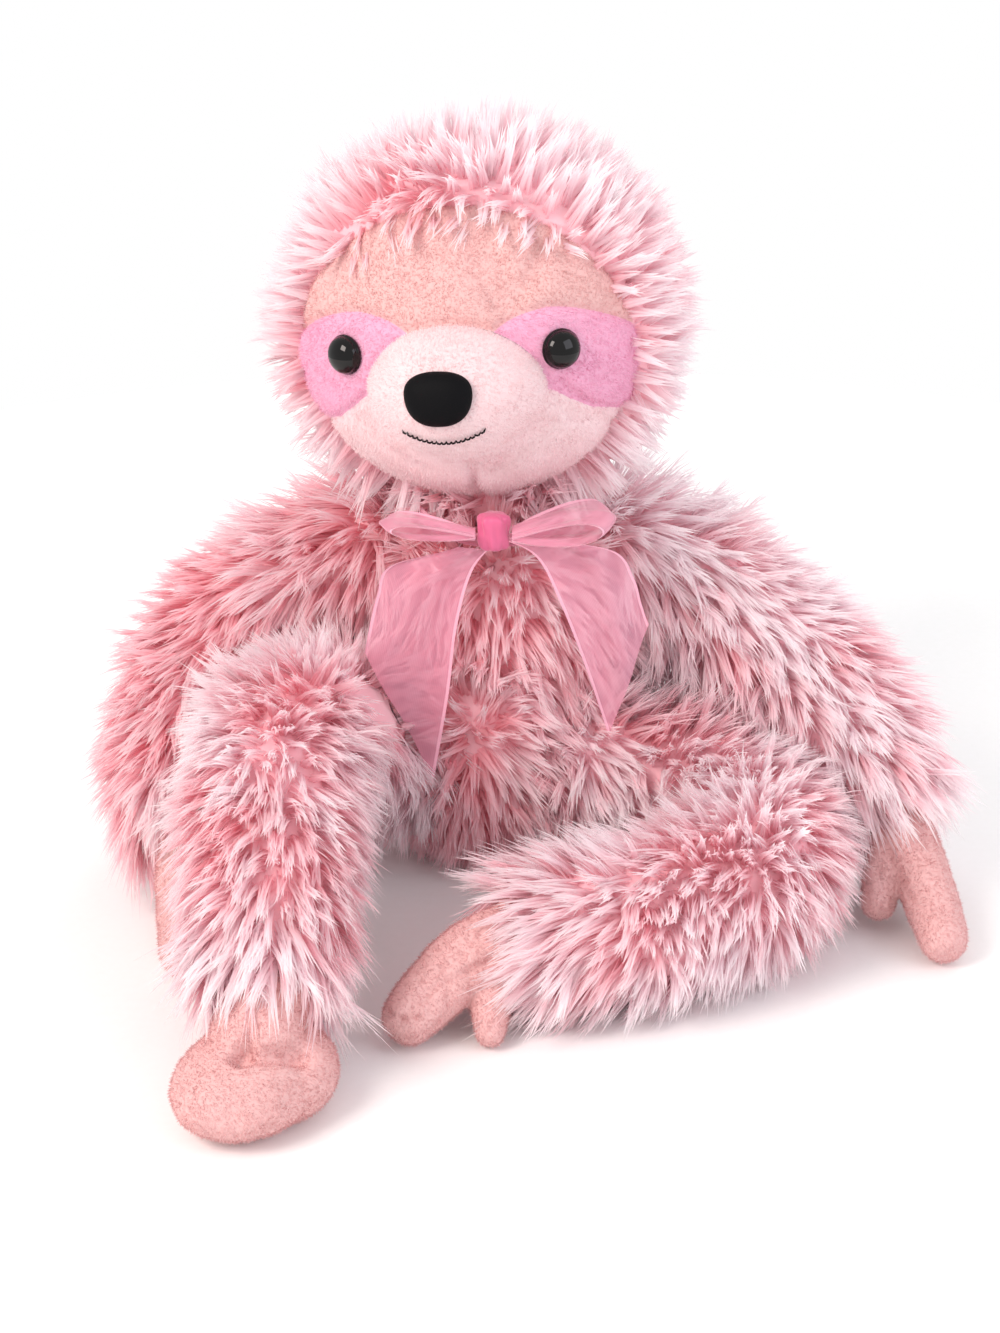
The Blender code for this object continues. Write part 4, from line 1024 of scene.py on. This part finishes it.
def plain_piece(name, node, body, points, faces, material):
    mesh = bpy.data.meshes.new(name)
    mesh.from_pydata([tuple(p) for p in points], [], [tuple(f) for f in faces])
    mesh.materials.append(material)
    mesh.shade_smooth()
    piece = set_out(name, mesh)
    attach(piece, body)
    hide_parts(node)
    return piece


BUTTON_STEPS = 56


def domed_button(name, node, point, normal, half, profile, squareness, material, narrowing=0.0):
    """A closed button: a turned profile of (share of radius, height), its outline a rounded square."""
    turn = Vector((0, -1, 0)).rotation_difference(normal).to_matrix().to_4x4()
    place = head_place @ Matrix.Translation(point) @ turn
    points = []
    for share, height in profile:
        for i in range(BUTTON_STEPS):
            angle = 2 * math.pi * i / BUTTON_STEPS
            c, s = math.cos(angle), math.sin(angle)
            r = (abs(c) ** squareness + abs(s) ** squareness) ** (-1 / squareness)
            squeeze = 1 - narrowing * (1 - s * r) / 2
            spot = Vector((half[0] * share * r * c * squeeze, -height, half[1] * share * r * s))
            points.append(place @ spot)
    faces = grid_faces(len(profile), BUTTON_STEPS, True)
    faces.append(tuple(range(BUTTON_STEPS))[::-1])
    faces.append(tuple(range(len(points) - BUTTON_STEPS, len(points))))
    plain_piece(name, node, "head", points, faces, material)


def build_eyes_and_nose():
    dome = [(0.72, -0.0012), (0.98, -0.0008), (1.04, 0.0), (1.03, 0.0006), (0.97, 0.0009)]
    dome += [(math.cos(a) * 0.97, 0.0009 + math.sin(a) * 0.0040) for a in np.linspace(0.08, 1.5, 12)]
    half = (EYE_RADIUS, EYE_RADIUS)
    for side_name, side in (("left", 1), ("right", -1)):
        node = "eye_" + side_name
        point, normal = on_head(EYE_ACROSS * side, 0.0, PANEL_LOFT + 0.0003)
        domed_button(node + "_dome", node, point, normal, half, dome, 2.0, EYE_ACRYLIC)
    pad = [(0.8, -0.0022), (0.96, -0.0014), (1.0, 0.0)]
    pad += [(math.cos(a) ** 0.8, NOSE_DOME * math.sin(a)) for a in np.linspace(0.12, 1.52, 14)]
    point, normal = on_muzzle(0.0, NOSE_HEIGHT, PANEL_LOFT - 0.0006)
    domed_button("nose_velour", "nose", point, normal, NOSE_HALF, pad, 2.4, NOSE_FLOCK, 0.20)


STITCHES = 17
THREAD_RADIUS = 0.00032
# The four points of a stitch: its height above the cloth and its share of the thread's radius.
STITCH_RISE = ((0.0002, 0.7), (0.0009, 1.0), (0.0009, 1.0), (0.0002, 0.7))


def build_mouth():
    """A row of overlapping stitches in thick black thread."""
    curve = bpy.data.curves.new("mouth_stitches", "CURVE")
    curve.dimensions = "3D"
    curve.bevel_depth = THREAD_RADIUS
    curve.bevel_resolution = 2
    curve.use_fill_caps = True
    for i in range(STITCHES):
        spline = curve.splines.new("POLY")
        spline.points.add(len(STITCH_RISE) - 1)
        for j, (lift, thickness) in enumerate(STITCH_RISE):
            t = -1 + 2 * (i + j / 3 * 1.25) / (STITCHES + 0.25)
            height = MOUTH_HEIGHT + MOUTH_RISE * t * t + 0.00012 * (-1) ** i * (j - 1.5) / 1.5
            spot = on_muzzle(MOUTH_HALF_WIDTH * t, height, PANEL_LOFT + lift)[0]
            spline.points[j].co = (*(head_place @ spot), 1)
            spline.points[j].radius = thickness
    piece = set_out("mouth_stitches", curve)
    curve.materials.append(STITCH_THREAD)
    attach(piece, "head")
    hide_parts("mouth_stitch")


# Paws: smooth stuffed mitts with the photograph's folds.
PAW_FOLDS = {
    "foot_right": (
        (((192, 1046), (242, 1058), (300, 1058)), 0.0046, 0.0032),
        (((266, 1000), (256, 1028), (240, 1058)), 0.0030, 0.0026),
        (((170, 1100), (230, 1118), (300, 1092)), 0.0010, 0.0040),
    ),
    "foot_left": (
        (((388, 1012), (402, 1020), (418, 1018)), 0.0018, 0.0012),
        (((490, 960), (440, 985), (404, 1018)), 0.0010, 0.0014),
        (((462, 958), (470, 975), (470, 1000)), 0.0009, 0.0013),
        (((440, 966), (448, 984), (448, 1008)), 0.0008, 0.0012),
        (((420, 980), (428, 996), (430, 1012)), 0.0007, 0.0011),
    ),
    "hand_left": (
        (((878, 870), (892, 905), (908, 940)), 0.0014, 0.0018),
        (((900, 880), (915, 900), (940, 905)), 0.0007, 0.0014),
    ),
    "hand_right": (),
}
PAW_GIVE = 0.0050
# The right foot's instep swells over its fold: where, how high and over what radius.
INSTEP = ("foot_right", (-0.069, -0.165, 0.025), 0.0042, 0.014)


def remeshed(node, voxel, smoothing):
    """A node's form as an even, softened mesh."""
    work = set_out("work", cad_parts[node].data.copy())
    grid = work.modifiers.new("grid", "REMESH")
    grid.mode = "VOXEL"
    grid.voxel_size = voxel
    soft = work.modifiers.new("soft", "SMOOTH")
    soft.factor = 0.5
    soft.iterations = smoothing
    graph = bpy.context.evaluated_depsgraph_get()
    done = bpy.data.meshes.new_from_object(work.evaluated_get(graph))
    bpy.data.objects.remove(work)
    return mesh_arrays(done)


def build_paws():
    swollen, top, rise, radius = INSTEP
    for i, (node, folds) in enumerate(PAW_FOLDS.items()):
        points, faces = remeshed(node, 0.0011, 6)
        tree = tree_of(points, faces)
        normals = point_normals(points, faces)
        points = points + normals * 0.0004
        if node == swollen:
            away = np.linalg.norm(points - np.array(Vector(top) + shift), axis=1)
            points = points + normals * (rise * np.exp(-((away / radius) ** 2)))[:, None]
        points = fold_in(points, normals, folds, tree, PAW_GIVE)
        points = points + normals * (shade_at(points, 0.009, 60 + i)[:, None] * 0.0004)
        points[:, 2] = np.maximum(points[:, 2], 0.0)
        skin = (points, faces)
        lay = (0, -0.5, -0.2)
        short_pile(node + "_mitt", node, BODIES[node], skin, PAW_PILE, PAW_BACKING, 0.00048, lay, 70 + i)


# Ribbon: sheer cloth with woven edges, tied in a bow. For each tail: its middle line and half widths, as in
# the photograph, its length, how much of that is cut slantwise, and to which side.
WOVEN_EDGE_SHARE = 0.07
TAILS = {
    "ribbon_tail_right": (
        ((-0.0086, 0.1245), (-0.0218, 0.1165), (-0.0262, 0.1020), (-0.0290, 0.0840), (-0.0323, 0.0643)),
        (0.0055, 0.0128, 0.0126, 0.0124, 0.0108), 0.088, 0.045, 1,
    ),
    "ribbon_tail_left": (
        ((0.0050, 0.1280), (0.0232, 0.1222), (0.0306, 0.1090), (0.0360, 0.0930), (0.0412, 0.0765)),
        (0.0048, 0.0118, 0.0114, 0.0088, 0.0060), 0.085, 0.040, -1,
    ),
}
# For each loop: its side, length, half opening, backward tilt and rise, as in the photograph.
BOW_LOOPS = {
    "ribbon_loop_right": (-1, 0.0310, 0.0028, -0.20, 0.0040),
    "ribbon_loop_left": (1, 0.0335, 0.0044, -0.04, 0.0055),
}
# The loops' two ends lie this far apart, in degrees either side of the knot.
LOOP_GAP = 22


def ribbon_grid(node, place, long_steps, wide_steps):
    """A single sheet of ribbon: place(s, t), s along it from 0 to 1 and t across it from -1 to 1."""
    inner = np.linspace(-1 + WOVEN_EDGE_SHARE, 1 - WOVEN_EDGE_SHARE, wide_steps - 1)
    across = [-1.0, *inner, 1.0]
    wide = len(across)
    points = [place(i / long_steps, t) for i in range(long_steps + 1) for t in across]
    faces = grid_faces(long_steps + 1, wide, False)
    mesh = bpy.data.meshes.new(node + "_cloth")
    mesh.from_pydata([tuple(p) for p in points], [], faces)
    layer = mesh.uv_layers.new(name="OFBake")
    for polygon, face in zip(mesh.polygons, faces):
        polygon.material_index = int(face[0] % wide in (0, wide - 2))
        for loop, corner in zip(polygon.loop_indices, face):
            i, j = divmod(corner, wide)
            layer.data[loop].uv = (0.01 + 0.98 * (across[j] + 1) / 2, 0.01 + 0.98 * i / long_steps)
    mesh.materials.append(ORGANZA)
    mesh.materials.append(SELVEDGE)
    mesh.shade_smooth()
    piece = set_out(node + "_cloth", mesh)
    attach(piece, "torso")
    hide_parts(node)
    return np.array([v.co for v in mesh.vertices]), np.array(faces)


def smooth_line(stops, share):
    """A point of a Catmull-Rom line through stops."""
    points = [Vector(p) for p in stops]
    points = [points[0] * 2 - points[1], *points, points[-1] * 2 - points[-2]]
    spot = min(share, 0.99999) * (len(stops) - 1)
    i, t = int(spot), spot - int(spot)
    a, b, c, d = points[i : i + 4]
    second, third = a * 2 - b * 5 + c * 4 - d, b * 3 - a - c * 3 + d
    return b + (c - a) * (t / 2) + second * (t**2 / 2) + third * (t**3 / 2)


def build_tails():
    """The two tails, and one search tree over both."""
    sheets = []
    for node, (middle, halves, length, cut, side) in TAILS.items():
        stops = [(x, z, half) for (x, z), half in zip(middle, halves)]

        def place(s, t, stops=stops, cut=cut, side=side):
            x, z, half = smooth_line(stops, s)
            lift = 0.0011 * math.sin(math.pi * (t * 1.3 + s * 0.9) + side) * (0.5 + s)
            crease = 0.0009 * abs(math.sin(4.2 * t + 1.2 * s)) * (1.1 - s)
            ahead = -0.0490 - lift - crease + 0.0030 * s
            return Vector((x + half * t, ahead, z - cut * s**2.2 * t * side / 2)) + shift

        sheets.append(ribbon_grid(node, place, 44, 14))
    return tree_over(sheets)


def build_loops():
    for node, (side, reach_out, opening, tilt, lift) in BOW_LOOPS.items():

        def place(s, t, side=side, reach_out=reach_out, opening=opening, tilt=tilt, lift=lift):
            angle = math.radians(LOOP_GAP) + s * (2 * math.pi - math.radians(2 * LOOP_GAP))
            reach = (1 - math.cos(angle)) / 2
            pinch = 0.40 + 0.60 * math.sqrt(reach)
            across = 0.0046 + reach_out * reach * (1 - 0.14 * t * t)
            height = opening * math.sin(angle) * math.sqrt(reach) + lift * reach
            pleat = 0.0012 * math.cos(11 * t) * (1 - reach)
            depth = 0.0118 * t * pinch
            rise = tilt * depth + 0.0006 * math.sin(5 * t + 6 * s)
            return KNOT_CENTRE + shift + Vector((side * across, depth - 0.003, height + pleat + rise))

        ribbon_grid(node, place, 48, 18)


def build_collar():
    """The band round the neck, gathered in pleats and dipping to the knot in front."""

    def place(s, t):
        angle = 2 * math.pi * (0.01 + 0.98 * s)
        ahead = max(math.cos(angle), 0)
        pleats = 0.0020 * math.sin(3 * math.pi * t)
        reach = 0.0272 + 0.0135 * ahead**3 + pleats
        height = 0.128 - 0.004 * ahead**1.5 + 0.0022 * t
        x = NECK_PIVOT.x + reach * math.sin(angle)
        y = NECK_PIVOT.y - reach * math.cos(angle)
        return Vector((x, y, height)) + shift

    ribbon_grid("ribbon_collar", place, 64, 36)


KNOT_HALF = (0.0062, 0.0052, 0.0060)
KNOT_RINGS = 14
KNOT_STEPS = 40


def build_knot():
    """A waisted roll of gathered cloth: 6 broad pleats and 11 fine ones."""
    points = []
    for k in range(KNOT_RINGS + 1):
        turn = math.pi * k / KNOT_RINGS
        waist = 0.74 + 0.30 * abs(math.cos(turn)) ** 1.5
        for i in range(KNOT_STEPS):
            angle = 2 * math.pi * i / KNOT_STEPS
            pleat = 1 + 0.09 * math.sin(6 * angle + 3 * math.cos(turn)) + 0.05 * math.sin(11 * angle + 1)
            across = KNOT_HALF[0] * math.sin(turn) ** 0.5 * math.cos(angle) * pleat * waist
            ahead = KNOT_HALF[1] * math.sin(turn) ** 0.5 * math.sin(angle) * pleat * waist
            points.append(KNOT_CENTRE + shift + Vector((across, ahead, KNOT_HALF[2] * math.cos(turn))))
    faces = grid_faces(KNOT_RINGS + 1, KNOT_STEPS, True)
    knot = plain_piece("ribbon_knot_cloth", "ribbon_knot", "torso", points, faces, KNOT_CLOTH)


# Studio: a pale floor, a pale world, one wide lamp and two fills. Each lamp's place, watts, size and colour.
LAMPS = {
    "wide_key": ((-0.80, -0.70, 0.95), 12.0, 0.6, "#FFF2EC"),
    "side_fill": ((0.95, -0.60, 0.65), 4.0, 0.8, "#F4F3FF"),
    "back_rim": ((0.35, 0.95, 0.85), 3.2, 0.7, "#FFFFFF"),
}
LIT_SPOT = Vector((0, 0, 0.1))
WORLD_LEVEL = 0.74
FLOOR_RADIUS = 0.55


def build_studio():
    scene = bpy.context.scene
    scene.view_settings.view_transform = "Standard"
    world = bpy.data.worlds.new("pale_studio")
    world.use_nodes = True
    scene.world = world
    rays = add_node(world, "ShaderNodeLightPath")
    either = {0: rays.outputs["Is Camera Ray"], 1: rays.outputs["Is Transmission Ray"]}
    seen = add_node(world, "ShaderNodeMath", either, operation="MAXIMUM").outputs[0]
    level = add_node(world, "ShaderNodeMapRange", {"Value": seen, "To Min": WORLD_LEVEL, "To Max": 1.0})
    background = {"Color": (1, 1, 1, 1), "Strength": level.outputs["Result"]}
    set_inputs(world, world.node_tree.nodes["Background"], background)
    for name, (spot, watts, size, hex_value) in LAMPS.items():
        lamp = bpy.data.lights.new(name, "AREA")
        lamp.energy = watts
        lamp.size = size
        lamp.color = colour(hex_value)[:3]
        stand_facing(set_out(name, lamp), spot, LIT_SPOT - Vector(spot))


def build_floor():
    """White paper sweep: matt and nearly even, so that it shows as the photograph's plain white ground."""
    bm = bmesh.new()
    bmesh.ops.create_circle(bm, cap_ends=True, segments=96, radius=FLOOR_RADIUS)
    mesh = bpy.data.meshes.new("floor")
    bm.to_mesh(mesh)
    bm.free()
    floor = set_out("floor", mesh)
    floor.location = (0, 0, -0.0003)
    material, shader = new_material("white_paper_sweep")
    grain = add_node(material, "ShaderNodeTexNoise", {"Scale": 400.0, "Detail": 2.0})
    shade = add_node(material, "ShaderNodeValToRGB", {"Fac": grain.outputs["Fac"]})
    set_ramp(shade, ((0.0, "#FBFBFA"), (1.0, "#FFFFFF")))
    set_inputs(material, shader, {"Base Color": shade.outputs["Color"], "Roughness": 0.9})
    mesh.materials.append(material)


# For each limb: the length of its pile, how it leans and droops, and its tone, which is painted light and
# shade: deep for the right arm, which lies in shade, and pale for the lit left arm and the legs.
LIMB_PILES = {
    "arm_fur_right": (0.0180, 0.50, 0.25, 0.30),
    "arm_fur_left": (0.0180, 0.50, 0.25, 0.85),
    "leg_fur_right": (0.0165, 0.45, 0.25, 0.75),
    "leg_fur_left": (0.0165, 0.45, 0.15, 0.70),
}


def build_fur(ribbon):
    # Each piece's tone paints light and shade: the lit hood pale, and the torso and neck, in shade, deep.
    long_pile(
        "head_fur", hood_skin(), inset=0.0004, length=hood_length, lean=hood_lean, droop=0.08, wildness=0.28,
        seed=11, flow_at=head_flow, tone=0.92, bare=0.0003,
    )
    long_pile(
        "body_fur", drawn_in_skin("body_fur", 0.0060), inset=0.0060, length=torso_length, lean=torso_lean,
        droop=0.25, wildness=0.42, seed=12, flow_at=falling_flow, tone=0.2, ribbon=ribbon,
    )
    long_pile(
        "neck_filling", drawn_in_skin("neck_filling", 0.0010), inset=0.0010, length=even(0.0180),
        lean=even(0.30), droop=0.10, wildness=0.40, seed=13, flow_at=falling_flow, tone=0.3, ribbon=ribbon,
    )
    for i, (node, (reach, lean, droop, tone)) in enumerate(LIMB_PILES.items()):
        long_pile(
            node, drawn_in_skin(node, 0.0050), inset=0.0050, length=limb_length(node, reach),
            lean=limb_lean(node, lean), droop=droop, wildness=0.45, seed=14 + i, flow_at=limb_flow(node),
            tone=tone, ribbon=ribbon,
        )


add_camera()
build_studio()
build_floor()
finish_hidden_solids()
tails = build_tails()
build_loops()
build_collar()
build_knot()
build_face()
build_eyes_and_nose()
build_mouth()
build_paws()
build_fur(tails)
